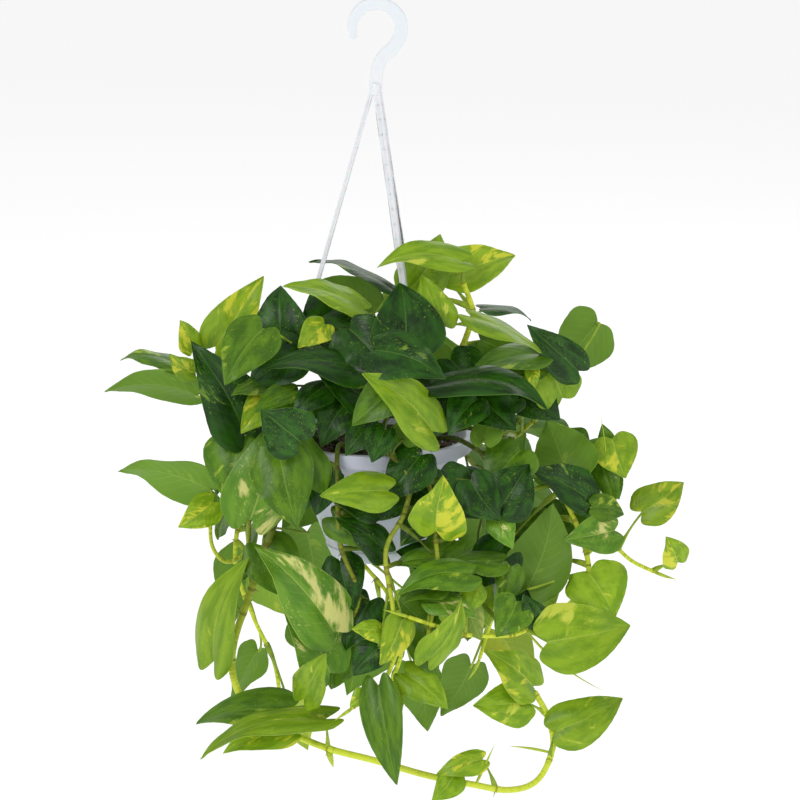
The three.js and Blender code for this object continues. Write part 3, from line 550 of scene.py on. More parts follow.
def round_stations(points: Sequence[Vector], radii: Sequence[float]) -> list[Station]:
    """Sections of a round sweep along a path, without twist.

    Args:
        points: the path.
        radii: the radius at each of its points.

    Returns:
        One station for each point.
    """
    stations = []
    side = Vector((0.31, 0.17, 0.93))
    last = len(points) - 1
    for i, (point, radius) in enumerate(zip(points, radii)):
        along = (points[min(i + 1, last)] - points[max(i - 1, 0)]).normalized()
        side = (side - along * side.dot(along)).normalized()
        stations.append(Station(point, side * radius, along.cross(side) * radius))
    return stations


def catmull(points: Sequence[Vector], steps: int) -> list[Vector]:
    """Points of a uniform Catmull-Rom curve, a number of steps from each of its places to the next."""
    ends = [points[0] * 2 - points[1], *points, points[-1] * 2 - points[-2]]
    out = []
    for i in range(len(points) - 1):
        a, b, c, d = ends[i : i + 4]
        for k in range(steps):
            t = k / steps
            out.append(
                0.5 * (2 * b + (c - a) * t + (2 * a - 5 * b + 4 * c - d) * t * t + (3 * b - a - 3 * c + d) * t**3)
            )
    out.append(points[-1].copy())
    return out


def bezier(a: Vector, b: Vector, c: Vector, d: Vector, steps: int) -> list[Vector]:
    """Points of a cubic curve from a to d."""
    out = []
    for i in range(steps + 1):
        t = i / steps
        s = 1 - t
        out.append(a * s**3 + b * (3 * s * s * t) + c * (3 * s * t * t) + d * t**3)
    return out


def piece(
    name: str,
    bm: bmesh.types.BMesh,
    materials: Iterable[bpy.types.Material],
    stands_for: Sequence[str] = (),
) -> bpy.types.Object:
    """Turns a mesh into a piece of the part and reports it.

    Args:
        name: the piece's name.
        bm: its mesh, which is freed.
        materials: its materials.
        stands_for: the frame's nodes that it replaces.

    Returns:
        The object, which rides on the root.
    """
    mesh = bpy.data.meshes.new(name)
    bm.to_mesh(mesh)
    bm.free()
    for material in materials:
        mesh.materials.append(material)
    made = bpy.data.objects.new(name, mesh)
    bpy.context.scene.collection.objects.link(made)
    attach(made, "root")
    if stands_for:
        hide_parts(*stands_for)
    LOG.info("%s: %d faces", name, len(mesh.polygons))
    return made


# ---- The plant's layout ----


@dataclass(frozen=True)
class Route:
    """A vine's way: its root on the soil, where it crosses the rim, its radius and its places."""

    root: tuple[float, float]
    route: list[Triple]
    radius: float
    over: float | None = None


@dataclass(frozen=True)
class Row:
    """One leaf: its vine, how far along that its stalk starts, its places, width, turn and tone."""

    vine: str
    at: float
    base: Triple
    tip: Triple
    width: float
    roll: float
    tone: Tone
    apart: bool


VINES = {
    "front": Route(
        root=(60, 40), over=84, radius=2.6,
        route=[(33, 466, 116), (28, 500, 124), (10, 537, 132), (17, 594, 142), (20, 636, 146),
               (4, 672, 142), (-24, 694, 134)],
    ),
    "long": Route(
        root=(140, 52), over=142, radius=3.6,
        route=[(-98, 500, 72), (-124, 575, 68), (-142, 630, 60), (-142, 667, 58), (-122, 704, 66),
               (-86, 720, 80), (-48, 735, 98), (0, 747, 114), (50, 761, 126), (95, 770, 130),
               (134, 776, 122), (162, 766, 104), (177, 733, 84), (171, 702, 72), (158, 678, 66)],
    ),
    "loop": Route(
        root=(32, 52), over=34, radius=2.6,
        route=[(125, 450, 68), (164, 463, 62), (190, 490, 62), (212, 552, 76), (197, 586, 96),
               (164, 606, 116), (137, 620, 128), (88, 620, 142), (62, 612, 148), (32, 602, 152)],
    ),
    "right": Route(
        root=(2, 50), over=8, radius=2.4,
        route=[(140, 446, 8), (180, 460, 10), (202, 485, 8), (218, 510, 2), (236, 529, -4),
               (256, 548, -8), (280, 560, -14)],
    ),
    "right_high": Route(
        root=(-22, 46), over=-18, radius=2.4,
        route=[(128, 428, -34), (158, 408, -24), (180, 386, -8), (186, 372, 0)],
    ),
    "crown_right": Route(
        root=(38, 26), radius=3.2,
        route=[(62, 392, 20), (80, 350, 28), (94, 312, 32), (96, 296, 32), (86, 268, 34)],
    ),
    "crown": Route(
        root=(88, 18), radius=2.6,
        route=[(18, 392, 36), (22, 366, 46), (30, 346, 58)],
    ),
    "crown_left": Route(
        root=(155, 26), radius=2.6,
        route=[(-36, 398, 22), (-46, 364, 28), (-50, 332, 34)],
    ),
    "left_high": Route(
        root=(200, 56), over=198, radius=2.4,
        route=[(-124, 396, -30), (-148, 372, -18), (-158, 350, -10), (-159, 338, -6)],
    ),
    "left_loop": Route(
        root=(168, 54), over=166, radius=2.4,
        route=[(-114, 470, 26), (-126, 505, 20), (-130, 538, 16), (-150, 549, 20), (-164, 533, 22),
               (-166, 502, 24)],
    ),
    "low_left": Route(
        root=(108, 50), over=112, radius=2.4,
        route=[(-38, 490, 112), (-34, 535, 108), (-17, 583, 100), (-34, 622, 96), (-48, 655, 90),
               (-58, 682, 84)],
    ),
    "low_right": Route(
        root=(70, 62), over=72, radius=2.4,
        route=[(52, 470, 108), (58, 515, 114), (62, 560, 122), (56, 600, 130), (48, 634, 132),
               (34, 662, 126)],
    ),
    "back_left": Route(
        root=(220, 50), over=218, radius=2.4,
        route=[(-104, 448, -76), (-134, 496, -84), (-142, 552, -70), (-124, 606, -60),
               (-104, 650, -66), (-96, 694, -58)],
    ),
    "back": Route(
        root=(262, 50), over=264, radius=2.4,
        route=[(-10, 438, -122), (-34, 486, -136), (-22, 540, -126), (14, 588, -112),
               (26, 640, -118), (6, 694, -106)],
    ),
    "back_right": Route(
        root=(318, 50), over=322, radius=2.4,
        route=[(94, 446, -84), (130, 492, -86), (142, 548, -72), (120, 600, -76), (104, 650, -70)],
    ),
    "crown_back": Route(
        root=(265, 22), radius=2.6,
        route=[(4, 384, -34), (-6, 346, -52), (-2, 316, -64)],
    ),
}

LEAVES = [
    # The crown, over the pot.
    Row("left_high", 5.6, (-159, 333, -2), (-112, 264, 8), 42, 0, Tone.YELLOW, True),
    Row("crown_left", 3, (-95, 339, 40), (-97, 272, 16), 52, -10, Tone.DARK, True),
    Row("crown_left", 1.9, (-112, 317, 90), (-149, 372, 122), 46, 0, Tone.MID, True),
    Row("crown_left", 3, (-12, 297, 34), (-92, 273, 52), 40, 55, Tone.BRIGHT, True),
    Row("crown_left", 2.6, (13, 276, -8), (-67, 248, -20), 38, 76, Tone.DARK, False),
    Row("crown_left", 2.8, (-51, 312, 60), (-77, 335, 78), 30, 25, Tone.YELLOW, False),
    Row("crown_left", 3, (-50, 315, 36), (0, 322, 54), 40, -20, Tone.DARK, False),
    Row("crown", 2.6, (-8, 358, 82), (-108, 350, 108), 44, 48, Tone.DARK, True),
    Row("crown", 1.6, (-9, 387, 72), (-60, 354, 88), 38, 35, Tone.DARK, False),
    Row("crown", 0.7, (56, 418, 118), (-10, 361, 150), 48, 30, Tone.BRIGHT, True),
    Row("crown", 3, (29, 339, 92), (24, 270, 62), 64, 0, Tone.DARK, True),
    Row("crown", 2.8, (0, 338, 120), (68, 364, 154), 48, -20, Tone.DARK, True),
    Row("crown_right", 4, (35, 276, 26), (65, 222, 10), 44, 10, Tone.BRIGHT, True),
    Row("crown_right", 3.9, (72, 262, 8), (139, 242, -14), 46, -28, Tone.YELLOW, True),
    Row("crown_right", 5, (85, 249, 46), (3, 250, 72), 34, 40, Tone.BRIGHT, True),
    Row("crown_right", 3, (67, 313, 66), (46, 263, 54), 34, 10, Tone.BRIGHT, False),
    Row("crown_right", 3, (96, 305, 70), (164, 341, 100), 38, -62, Tone.BRIGHT, True),
    Row("crown_right", 3.4, (106, 296, 30), (156, 304, 14), 26, -74, Tone.DARK, False),
    Row("right_high", 4.4, (163, 341, 40), (89, 362, 86), 38, 45, Tone.MID, False),
    Row("right_high", 4, (162, 352, 34), (124, 372, 60), 28, 40, Tone.MID, False),
    Row("right_high", 5.6, (202, 358, 30), (151, 313, 40), 36, 10, Tone.DARK, False),
    Row("right_high", 5, (222, 310, -28), (178, 354, 0), 52, 168, Tone.MID, True),
    Row("right_high", 5.4, (186, 385, 16), (163, 341, 20), 44, 10, Tone.BRIGHT, False),
    Row("crown_right", 1, (60, 374, 96), (170, 390, 126), 50, -58, Tone.DARK, True),
    Row("right_high", 4, (155, 356, 58), (158, 376, 70), 13, 0, Tone.YELLOW, False),
    Row("crown_right", 1.6, (100, 386, 88), (72, 421, 116), 36, 0, Tone.DARK, False),
    Row("right_high", 3.4, (107, 429, 88), (112, 387, 66), 28, 165, Tone.MID, False),
    Row("right_high", 3.6, (142, 386, 54), (124, 407, 72), 20, 10, Tone.DARK, False),
    Row("crown_left", 1.6, (-101, 368, 58), (-144, 381, 80), 28, 50, Tone.MID, False),
    Row("crown_left", 1.2, (-103, 382, 64), (-134, 420, 90), 32, 10, Tone.YELLOW, False),
    Row("crown_left", 1, (-82, 378, 78), (-120, 400, 106), 24, 30, Tone.MID, False),
    Row("crown", 1, (-50, 374, 86), (-82, 404, 110), 28, 20, Tone.DARK, False),
    Row("crown_back", 3, (-4, 300, -60), (-60, 266, -74), 50, 150, Tone.MID, True),
    Row("crown_back", 2.8, (8, 304, -66), (66, 288, -100), 50, 205, Tone.BRIGHT, False),
    Row("crown_back", 2.6, (14, 332, -78), (84, 334, -120), 54, 200, Tone.MID, False),
    Row("crown_back", 2, (-12, 350, -74), (-84, 330, -112), 56, 150, Tone.DARK, False),
    Row("crown_back", 1.6, (2, 372, -78), (20, 386, -150), 54, 195, Tone.DARK, False),
    Row("crown_back", 1.4, (-20, 384, -116), (-84, 392, -172), 50, 165, Tone.MID, False),
    # The left.
    Row("left_high", 5, (-191, 355, 2), (-256, 345, -14), 34, 66, Tone.MID, False),
    Row("left_high", 5.4, (-183, 337, 6), (-195, 307, 0), 22, 20, Tone.YELLOW, False),
    Row("left_high", 4.6, (-180, 360, 16), (-206, 341, 26), 24, -20, Tone.YELLOW, False),
    Row("left_high", 4, (-179, 382, 4), (-271, 378, 26), 44, 128, Tone.MID, True),
    Row("left_high", 3.4, (-131, 421, 44), (-183, 331, 62), 56, 5, Tone.DARK, True),
    Row("left_high", 2.2, (-112, 404, -52), (-160, 420, -100), 50, 120, Tone.MID, False),
    Row("left_high", 3.4, (-134, 392, -30), (-172, 384, -78), 46, 105, Tone.BRIGHT, False),
    Row("left_loop", 7.9, (-164, 477, 28), (-257, 455, 44), 48, 138, Tone.MID, True),
    Row("left_loop", 8, (-163, 489, 34), (-197, 514, 50), 30, 10, Tone.YELLOW, False),
    Row("left_loop", 4, (-124, 504, 92), (-101, 407, 66), 58, 0, Tone.CREAM, True),
    Row("left_loop", 3, (-126, 450, 8), (-162, 478, -34), 46, 100, Tone.DARK, False),
    Row("low_left", 2.4, (-66, 474, 116), (-92, 404, 88), 46, 15, Tone.MID, False),
    Row("low_left", 2.4, (-96, 440, 120), (-78, 514, 144), 54, 0, Tone.MID, True),
    # The middle, before the pot.
    Row("front", 2.4, (2, 412, 104), (-30, 441, 126), 36, 30, Tone.DARK, False),
    Row("front", 2.2, (26, 428, 108), (36, 402, 94), 30, 170, Tone.MID, False),
    Row("low_left", 3, (12, 477, 132), (-55, 482, 152), 38, 20, Tone.BRIGHT, True),
    Row("low_left", 4, (10, 538, 120), (-40, 504, 132), 34, 30, Tone.DARK, False),
    Row("low_left", 3.2, (0, 498, 110), (-40, 488, 118), 26, 30, Tone.DARK, False),
    Row("low_right", 4.2, (60, 517, 130), (68, 465, 148), 50, 0, Tone.YELLOW, True),
    Row("low_right", 3, (108, 472, 88), (54, 490, 108), 46, 10, Tone.DARK, False),
    Row("front", 4.3, (62, 545, 104), (18, 551, 116), 24, 40, Tone.MID, False),
    Row("low_right", 5, (124, 548, 96), (66, 552, 114), 36, 52, Tone.MID, False),
    Row("low_right", 5.2, (94, 560, 132), (22, 577, 156), 36, 34, Tone.MID, True),
    Row("low_right", 5.6, (98, 571, 126), (86, 600, 142), 24, 0, Tone.BRIGHT, False),
    Row("low_right", 5.4, (134, 554, 104), (126, 590, 112), 26, 0, Tone.MID, False),
    Row("low_right", 6, (66, 569, 132), (26, 586, 140), 30, 48, Tone.MID, False),
    # The right.
    Row("right", 3.3, (192, 464, 34), (172, 407, 14), 62, 165, Tone.MID, True),
    Row("right", 6, (232, 436, 8), (226, 411, 4), 17, 0, Tone.MID, False),
    Row("right", 6.4, (236, 426, 14), (249, 465, 34), 42, -10, Tone.YELLOW, True),
    Row("right", 5.6, (222, 446, 14), (239, 490, 32), 28, 20, Tone.MID, False),
    Row("right", 7.4, (267, 499, 2), (308, 468, -12), 38, -12, Tone.YELLOW, True),
    Row("right", 9, (303, 550, -12), (291, 524, -4), 28, 20, Tone.YELLOW, False),
    Row("loop", 3, (122, 496, 108), (152, 450, 92), 50, 0, Tone.DARK, True),
    Row("loop", 4, (212, 486, 50), (155, 456, 70), 42, 30, Tone.DARK, False),
    Row("loop", 4.4, (119, 501, 100), (136, 535, 118), 26, 0, Tone.CREAM, False),
    Row("loop", 6.2, (151, 575, 92), (176, 490, 76), 58, 172, Tone.MID, True),
    Row("loop", 5.8, (238, 517, 64), (188, 526, 86), 38, 20, Tone.CREAM, False),
    Row("loop", 5, (216, 494, 58), (248, 501, 48), 28, -30, Tone.MID, False),
    Row("loop", 6.4, (212, 560, 90), (238, 604, 112), 56, -10, Tone.BRIGHT, True),
    Row("right_high", 2.2, (118, 410, -58), (172, 424, -100), 48, -120, Tone.MID, False),
    Row("right_high", 3.2, (146, 402, -44), (198, 418, -66), 44, -110, Tone.DARK, False),
    # The lower right.
    Row("loop", 8.6, (171, 627, 132), (254, 610, 112), 62, -8, Tone.BRIGHT, True),
    Row("loop", 8, (166, 612, 120), (146, 580, 124), 26, 0, Tone.DARK, False),
    Row("loop", 9, (140, 587, 124), (119, 622, 140), 36, 0, Tone.MID, False),
    Row("loop", 10, (52, 645, 150), (87, 586, 158), 34, 34, Tone.BRIGHT, False),
    Row("loop", 10, (92, 592, 132), (104, 626, 146), 24, 170, Tone.CREAM, False),
    Row("low_right", 6.4, (54, 587, 138), (100, 603, 150), 28, -34, Tone.CREAM, False),
    Row("low_right", 7, (48, 608, 124), (61, 665, 140), 34, 12, Tone.MID, False),
    Row("low_right", 8, (29, 659, 136), (72, 694, 152), 33, -12, Tone.BRIGHT, False),
    Row("long", 16.8, (156, 673, 70), (110, 637, 94), 42, 22, Tone.YELLOW, True),
    Row("long", 16, (151, 689, 74), (97, 692, 98), 42, 8, Tone.BRIGHT, True),
    Row("long", 14.6, (180, 718, 84), (247, 684, 66), 44, -8, Tone.BRIGHT, True),
    Row("long", 12.6, (106, 745, 130), (60, 760, 140), 24, 20, Tone.YELLOW, False),
    Row("long", 11.6, (79, 759, 132), (56, 786, 146), 26, 0, Tone.BRIGHT, False),
    # The lower left.
    Row("long", 5.4, (-162, 648, 64), (-126, 543, 88), 44, -28, Tone.BRIGHT, True),
    Row("long", 4.4, (-144, 590, 58), (-166, 581, 52), 17, 30, Tone.DARK, False),
    Row("long", 4, (-129, 556, 62), (-150, 561, 54), 16, 20, Tone.MID, False),
    Row("low_left", 6, (-42, 617, 112), (-116, 532, 136), 58, 14, Tone.CREAM, True),
    Row("low_left", 5.4, (-60, 586, 106), (-82, 578, 116), 19, 0, Tone.CREAM, False),
    Row("low_left", 7, (-46, 659, 100), (-91, 596, 118), 50, 10, Tone.CREAM, True),
    Row("low_left", 8, (-72, 685, 116), (-50, 639, 142), 34, -22, Tone.BRIGHT, False),
    Row("front", 6.4, (2, 634, 150), (-23, 661, 150), 28, 10, Tone.DARK, False),
    Row("front", 5.6, (6, 617, 148), (-24, 614, 158), 22, 30, Tone.YELLOW, False),
    Row("front", 5.4, (26, 605, 148), (4, 650, 164), 28, 0, Tone.YELLOW, False),
    Row("long", 7.6, (-86, 697, 86), (-181, 709, 70), 46, 40, Tone.MID, True),
    Row("long", 9, (-52, 706, 108), (-176, 742, 122), 36, 48, Tone.BRIGHT, True),
    Row("long", 8, (-84, 719, 92), (-154, 738, 96), 30, 20, Tone.YELLOW, False),
    Row("front", 8, (3, 671, 150), (21, 770, 172), 38, 20, Tone.MID, True),
    Row("front", 8.4, (8, 675, 140), (24, 704, 152), 30, 0, Tone.YELLOW, False),
    Row("front", 9, (-12, 678, 142), (-26, 692, 146), 15, 0, Tone.YELLOW, False),
    # The back.
    Row("back_left", 2.6, (-116, 436, -92), (-168, 466, -132), 52, 140, Tone.DARK, False),
    Row("back_left", 3.4, (-140, 486, -100), (-160, 528, -64), 46, 110, Tone.MID, False),
    Row("back_left", 4, (-130, 540, -90), (-146, 610, -108), 54, 170, Tone.MID, False),
    Row("back_left", 4.6, (-112, 560, -78), (-62, 612, -98), 50, 200, Tone.BRIGHT, False),
    Row("back_left", 5.6, (-120, 640, -76), (-146, 690, -54), 44, 130, Tone.MID, False),
    Row("back_left", 6.6, (-90, 690, -72), (-70, 742, -86), 40, 180, Tone.YELLOW, False),
    Row("back", 2.2, (36, 404, -124), (84, 424, -168), 52, 205, Tone.MID, False),
    Row("back", 2.6, (-24, 418, -136), (-66, 452, -180), 54, 170, Tone.DARK, False),
    Row("back", 3.2, (-48, 474, -152), (-96, 520, -162), 50, 160, Tone.MID, False),
    Row("back", 3.6, (-6, 500, -154), (34, 556, -180), 56, 195, Tone.MID, False),
    Row("back", 4.4, (-40, 556, -140), (-58, 624, -158), 50, 175, Tone.YELLOW, False),
    Row("back", 5, (34, 580, -126), (84, 628, -142), 48, 215, Tone.BRIGHT, False),
    Row("back", 5.6, (6, 630, -134), (-30, 686, -150), 50, 170, Tone.MID, False),
    Row("back", 6.4, (38, 660, -124), (52, 724, -128), 44, 190, Tone.MID, False),
    Row("back_right", 2.6, (110, 432, -102), (162, 456, -148), 52, 214, Tone.DARK, False),
    Row("back_right", 3.2, (146, 478, -92), (190, 520, -74), 50, 240, Tone.MID, False),
    Row("back_right", 3.6, (112, 496, -108), (88, 556, -142), 54, 180, Tone.MID, False),
    Row("back_right", 4.2, (152, 546, -86), (178, 606, -68), 48, 225, Tone.BRIGHT, False),
    Row("back_right", 4.6, (116, 570, -94), (92, 632, -120), 50, 176, Tone.MID, False),
    Row("back_right", 5.4, (124, 622, -88), (150, 680, -76), 46, 205, Tone.YELLOW, False),
    Row("back_right", 6, (96, 656, -82), (66, 706, -94), 42, 170, Tone.MID, False),
    # Inner leaves, which fill the plant behind the others.
    Row("crown_back", 2.2, (30, 350, -40), (92, 360, -60), 50, 215, Tone.MID, False),
    Row("crown_back", 2.2, (-30, 340, -44), (-96, 352, -56), 50, 140, Tone.MID, False),
    Row("crown_left", 2.4, (-36, 287, 12), (-76, 332, 34), 50, 10, Tone.DARK, False),
    Row("crown_left", 1.6, (-76, 337, 56), (-126, 372, 64), 48, 20, Tone.DARK, False),
    Row("crown_right", 2.4, (104, 327, 6), (154, 352, 28), 44, -20, Tone.MID, False),
    Row("crown", 2.5, (-26, 317, 72), (9, 359, 96), 50, 0, Tone.DARK, False),
    Row("right_high", 3, (144, 367, 6), (184, 407, 24), 44, 0, Tone.DARK, False),
    Row("crown_right", 1.6, (74, 347, 58), (104, 387, 78), 46, -10, Tone.DARK, False),
    Row("crown_right", 1.2, (30, 372, 86), (66, 410, 104), 38, -10, Tone.DARK, False),
    Row("crown", 1.3, (24, 372, 120), (-24, 412, 136), 40, 20, Tone.MID, False),
    Row("crown", 1.1, (79, 382, 88), (49, 427, 96), 34, 0, Tone.DARK, False),
    Row("crown_right", 0.8, (104, 382, 78), (139, 417, 100), 42, -20, Tone.DARK, False),
    Row("crown", 0.9, (9, 417, 124), (-4, 449, 136), 28, 0, Tone.DARK, False),
    Row("crown_left", 0.8, (-76, 382, 70), (-101, 427, 92), 40, 10, Tone.MID, False),
    Row("crown_left", 0.6, (-26, 387, 76), (-54, 433, 96), 38, 5, Tone.DARK, False),
    Row("crown_left", 0.7, (-76, 427, 136), (-114, 397, 148), 50, -10, Tone.DARK, False),
    Row("left_loop", 3, (-136, 427, 36), (-144, 492, 54), 58, 10, Tone.MID, False),
    Row("low_left", 3, (-66, 457, 90), (-86, 507, 100), 40, 0, Tone.DARK, False),
    Row("low_left", 3.2, (-31, 467, 106), (-51, 490, 112), 24, 20, Tone.DARK, False),
    Row("front", 4, (54, 487, 92), (24, 532, 106), 36, 10, Tone.DARK, False),
    Row("low_right", 3, (94, 467, 106), (124, 507, 118), 40, -10, Tone.DARK, False),
    Row("low_right", 4.3, (79, 527, 84), (44, 557, 96), 36, 20, Tone.MID, False),
    Row("loop", 4.7, (128, 532, 74), (98, 576, 90), 44, 10, Tone.DARK, False),
    Row("low_right", 5, (64, 547, 84), (94, 587, 96), 44, 0, Tone.DARK, False),
    Row("right", 3.6, (214, 427, -14), (184, 467, 4), 46, 30, Tone.MID, False),
    Row("right", 4.6, (184, 487, 24), (209, 532, 40), 46, -10, Tone.MID, False),
    Row("right", 5.4, (224, 457, -10), (244, 487, -4), 28, 0, Tone.MID, False),
    Row("loop", 3, (144, 437, 68), (114, 482, 86), 46, 10, Tone.MID, False),
    Row("loop", 5.3, (144, 507, 42), (174, 547, 60), 46, -10, Tone.MID, False),
    Row("loop", 6, (164, 547, 62), (144, 597, 84), 48, 0, Tone.DARK, False),
    Row("low_right", 4.9, (24, 587, 92), (64, 632, 104), 46, -10, Tone.MID, False),
    Row("loop", 9.1, (74, 562, 80), (114, 612, 96), 50, -10, Tone.BRIGHT, False),
    Row("long", 3.4, (-114, 532, 72), (-76, 587, 88), 50, -10, Tone.MID, False),
    Row("low_left", 4.6, (-36, 547, 92), (-21, 597, 108), 38, 0, Tone.DARK, False),
    Row("low_left", 5.9, (-76, 607, 80), (-36, 647, 94), 46, -20, Tone.MID, False),
    Row("low_left", 5, (-6, 587, 88), (-31, 637, 102), 40, 10, Tone.DARK, False),
    Row("low_left", 6, (-26, 627, 84), (-46, 677, 78), 42, 10, Tone.MID, False),
    Row("back_left", 2, (-70, 420, -96), (-110, 460, -128), 50, 160, Tone.MID, False),
    Row("back_left", 4.4, (-70, 520, -108), (-60, 580, -136), 50, 180, Tone.MID, False),
    Row("back", 3, (20, 470, -138), (64, 500, -170), 50, 200, Tone.DARK, False),
    Row("back_right", 3.4, (60, 530, -122), (40, 590, -142), 48, 180, Tone.MID, False),
    Row("front", 3.8, (26, 478, 90), (-20, 508, 100), 34, 10, Tone.DARK, False),
    Row("low_left", 4.1, (-43, 503, 104), (3, 536, 114), 32, -10, Tone.MID, False),
    Row("front", 3.4, (44, 442, 104), (9, 487, 116), 42, 10, Tone.DARK, False),
    Row("low_right", 2.6, (64, 457, 100), (78, 507, 110), 44, -10, Tone.DARK, False),
    Row("low_left", 2.6, (-46, 457, 104), (-60, 502, 112), 30, 0, Tone.DARK, False),
    Row("front", 5.3, (66, 545, 68), (20, 537, 78), 34, 14, Tone.DARK, False),
]

# ---- Leaves ----


@dataclass(frozen=True)
class BladeFrame:
    """A blade's own directions at its base: along it, out of its face and to its side."""

    along: Vector
    face: Vector
    side: Vector

    @classmethod
    def of(cls, base: Vector, tip: Vector, roll: float) -> "BladeFrame":
        """The directions of a blade from base to tip whose face is turned by roll degrees."""
        along = (tip - base).normalized()
        front = Vector((0, -math.cos(SHEET_LEAN), math.sin(SHEET_LEAN)))
        front = (front - along * front.dot(along)).normalized()
        turn = math.radians(roll)
        face = front * math.cos(turn) + along.cross(front) * math.sin(turn)
        return cls(along, face, along.cross(face))


@dataclass
class Blade:
    """One heart-shaped leaf blade."""

    base: Vector
    tip: Vector
    width: float
    roll: float
    seed: int
    rows: int = 30
    columns: int = 16
    thickness: float = 0.75 * MM
    bow: float = 0.0
    fold: float = 0.0
    curl: float = 0.0
    droop: float = 0.0
    sway: float = 0.0
    twist: float = 0.0
    wave: float = 0.0
    lobe: float = 0.0
    light: float = 0.5
    share: float = 0.5
    tail: float = 0.0

    # Half width along the blade: share of the length, share of the greatest half width.
    PROFILE = (
        (0.0, 0.86), (0.04, 1.02), (0.1, 1.14), (0.18, 1.19), (0.28, 1.15), (0.4, 1.04),
        (0.52, 0.89), (0.64, 0.7), (0.76, 0.49), (0.86, 0.3), (0.94, 0.135), (1.0, 0.0),
    )

    def __post_init__(self) -> None:
        """Draws what makes this leaf differ from the next."""
        draw = random.Random(self.seed)
        self.bow = draw.uniform(0.06, 0.13)
        self.fold = draw.uniform(0.10, 0.30)
        self.curl = draw.uniform(0.10, 0.34)
        self.droop = draw.uniform(0.0, 0.09)
        self.sway = draw.uniform(-0.06, 0.06)
        self.twist = draw.uniform(-0.35, 0.35)
        self.wave = draw.uniform(0.012, 0.05)
        self.lobe = draw.uniform(0.10, 0.16)
        self.light = draw.uniform(0.25, 0.75)
        self.share = draw.uniform(0.1, 0.9)
        self.lean = draw.uniform(-0.07, 0.07)
        self.phase = draw.uniform(0, 2 * math.pi)
        self.ripples = draw.uniform(1.3, 2.6)

    def half_width(self, p: float) -> float:
        """The half width's share at a share of the length."""
        for (p0, w0), (p1, w1) in zip(self.PROFILE, self.PROFILE[1:]):
            if p <= p1:
                t = (p - p0) / (p1 - p0)
                return blend(w0, w1, t if p0 < 0.12 or p0 > 0.9 else t * t * (3 - 2 * t) * 0.3 + t * 0.7)
        return 0.0

    def point(self, p: float, q: float, frame_: BladeFrame) -> Vector:
        """The point at a share p along the blade and q, from -1 to 1, across it."""
        length = (self.tip - self.base).length
        half = self.width / 2
        t = abs(q)
        back = self.lobe * (1 - p) ** 5 * math.sin(0.9 * math.pi * t)
        ahead = 0.05 * math.sin(math.pi * p) * t * t
        x = (p - back + ahead) * length
        y = q * self.half_width(p) * half * (1 + self.lean * (1 if q > 0 else -1))
        rise = self.bow * 4 * p * (1 - p) * length
        rise += self.fold * abs(y) - self.curl * y * y / half
        rise -= self.droop * max(0.0, (p - 0.6) / 0.4) ** 2 * length
        edge = t * t * half * 2 * self.wave
        rise += edge * math.sin(2 * math.pi * self.ripples * p + self.phase + (1.3 if q > 0 else 0))
        across = y
        turn = self.twist * (p - 0.2)
        arc = self.bow * 4 * p * (1 - p) * length
        lift = rise - arc
        y = across * math.cos(turn) - lift * math.sin(turn)
        rise = arc + across * math.sin(turn) + lift * math.cos(turn)
        y += self.sway * math.sin(math.pi * p) * length
        return self.base + frame_.along * x + frame_.side * y + frame_.face * rise

    def build(self, bm: bmesh.types.BMesh) -> None:
        """Adds the blade to a mesh, as a closed thin body."""
        frame_ = BladeFrame.of(self.base, self.tip, self.roll)
        blade = bm.verts.layers.float_vector.get("blade") or bm.verts.layers.float_vector.new("blade")
        leaf = bm.verts.layers.float_vector.get("leaf") or bm.verts.layers.float_vector.new("leaf")
        grid = bmesh.ops.create_grid(bm, x_segments=self.columns, y_segments=self.rows, size=1)
        verts = grid["verts"]
        tips = []
        for vert in verts:
            q, p = vert.co.x, (vert.co.y + 1) / 2
            p = 1 - (1 - p) ** 1.12
            vert[blade] = Vector((q, p, 0))
            vert[leaf] = Vector(((self.seed % 97) / 97, self.light, self.share))
            vert.co = self.point(p, q, frame_)
            if p > 0.9999:
                tips.append(vert)
        bmesh.ops.pointmerge(bm, verts=tips, merge_co=tips[0].co.copy())
        upper = list({face for vert in verts if vert.is_valid for face in vert.link_faces})
        bmesh.ops.recalc_face_normals(bm, faces=upper)
        middle = upper[len(upper) // 2]
        if middle.normal.dot(frame_.face) < 0:
            bmesh.ops.reverse_faces(bm, faces=upper)
        rim = [edge for face in upper for edge in face.edges if edge.is_boundary]
        copy = bmesh.ops.duplicate(bm, geom=upper)
        lower = [item for item in copy["geom"] if isinstance(item, bmesh.types.BMFace)]
        below = [item for item in copy["geom"] if isinstance(item, bmesh.types.BMVert)]
        for vert in below:
            vert.normal_update()
        for vert, normal in [(vert, vert.normal.copy()) for vert in below]:
            vert.co -= normal * self.thickness
            vert[blade] = Vector((vert[blade].x, vert[blade].y, 1))
        bmesh.ops.reverse_faces(bm, faces=lower)
        low_rim = [edge for face in lower for edge in face.edges if edge.is_boundary]
        for edge in {*rim, *low_rim}:
            edge.smooth = False
        wall = bmesh.ops.bridge_loops(bm, edges=list({*rim, *low_rim}))["faces"]
        for face in [*upper, *lower, *wall]:
            face.smooth = True
        bmesh.ops.recalc_face_normals(bm, faces=[*upper, *lower, *wall])


# ---- Vines ----


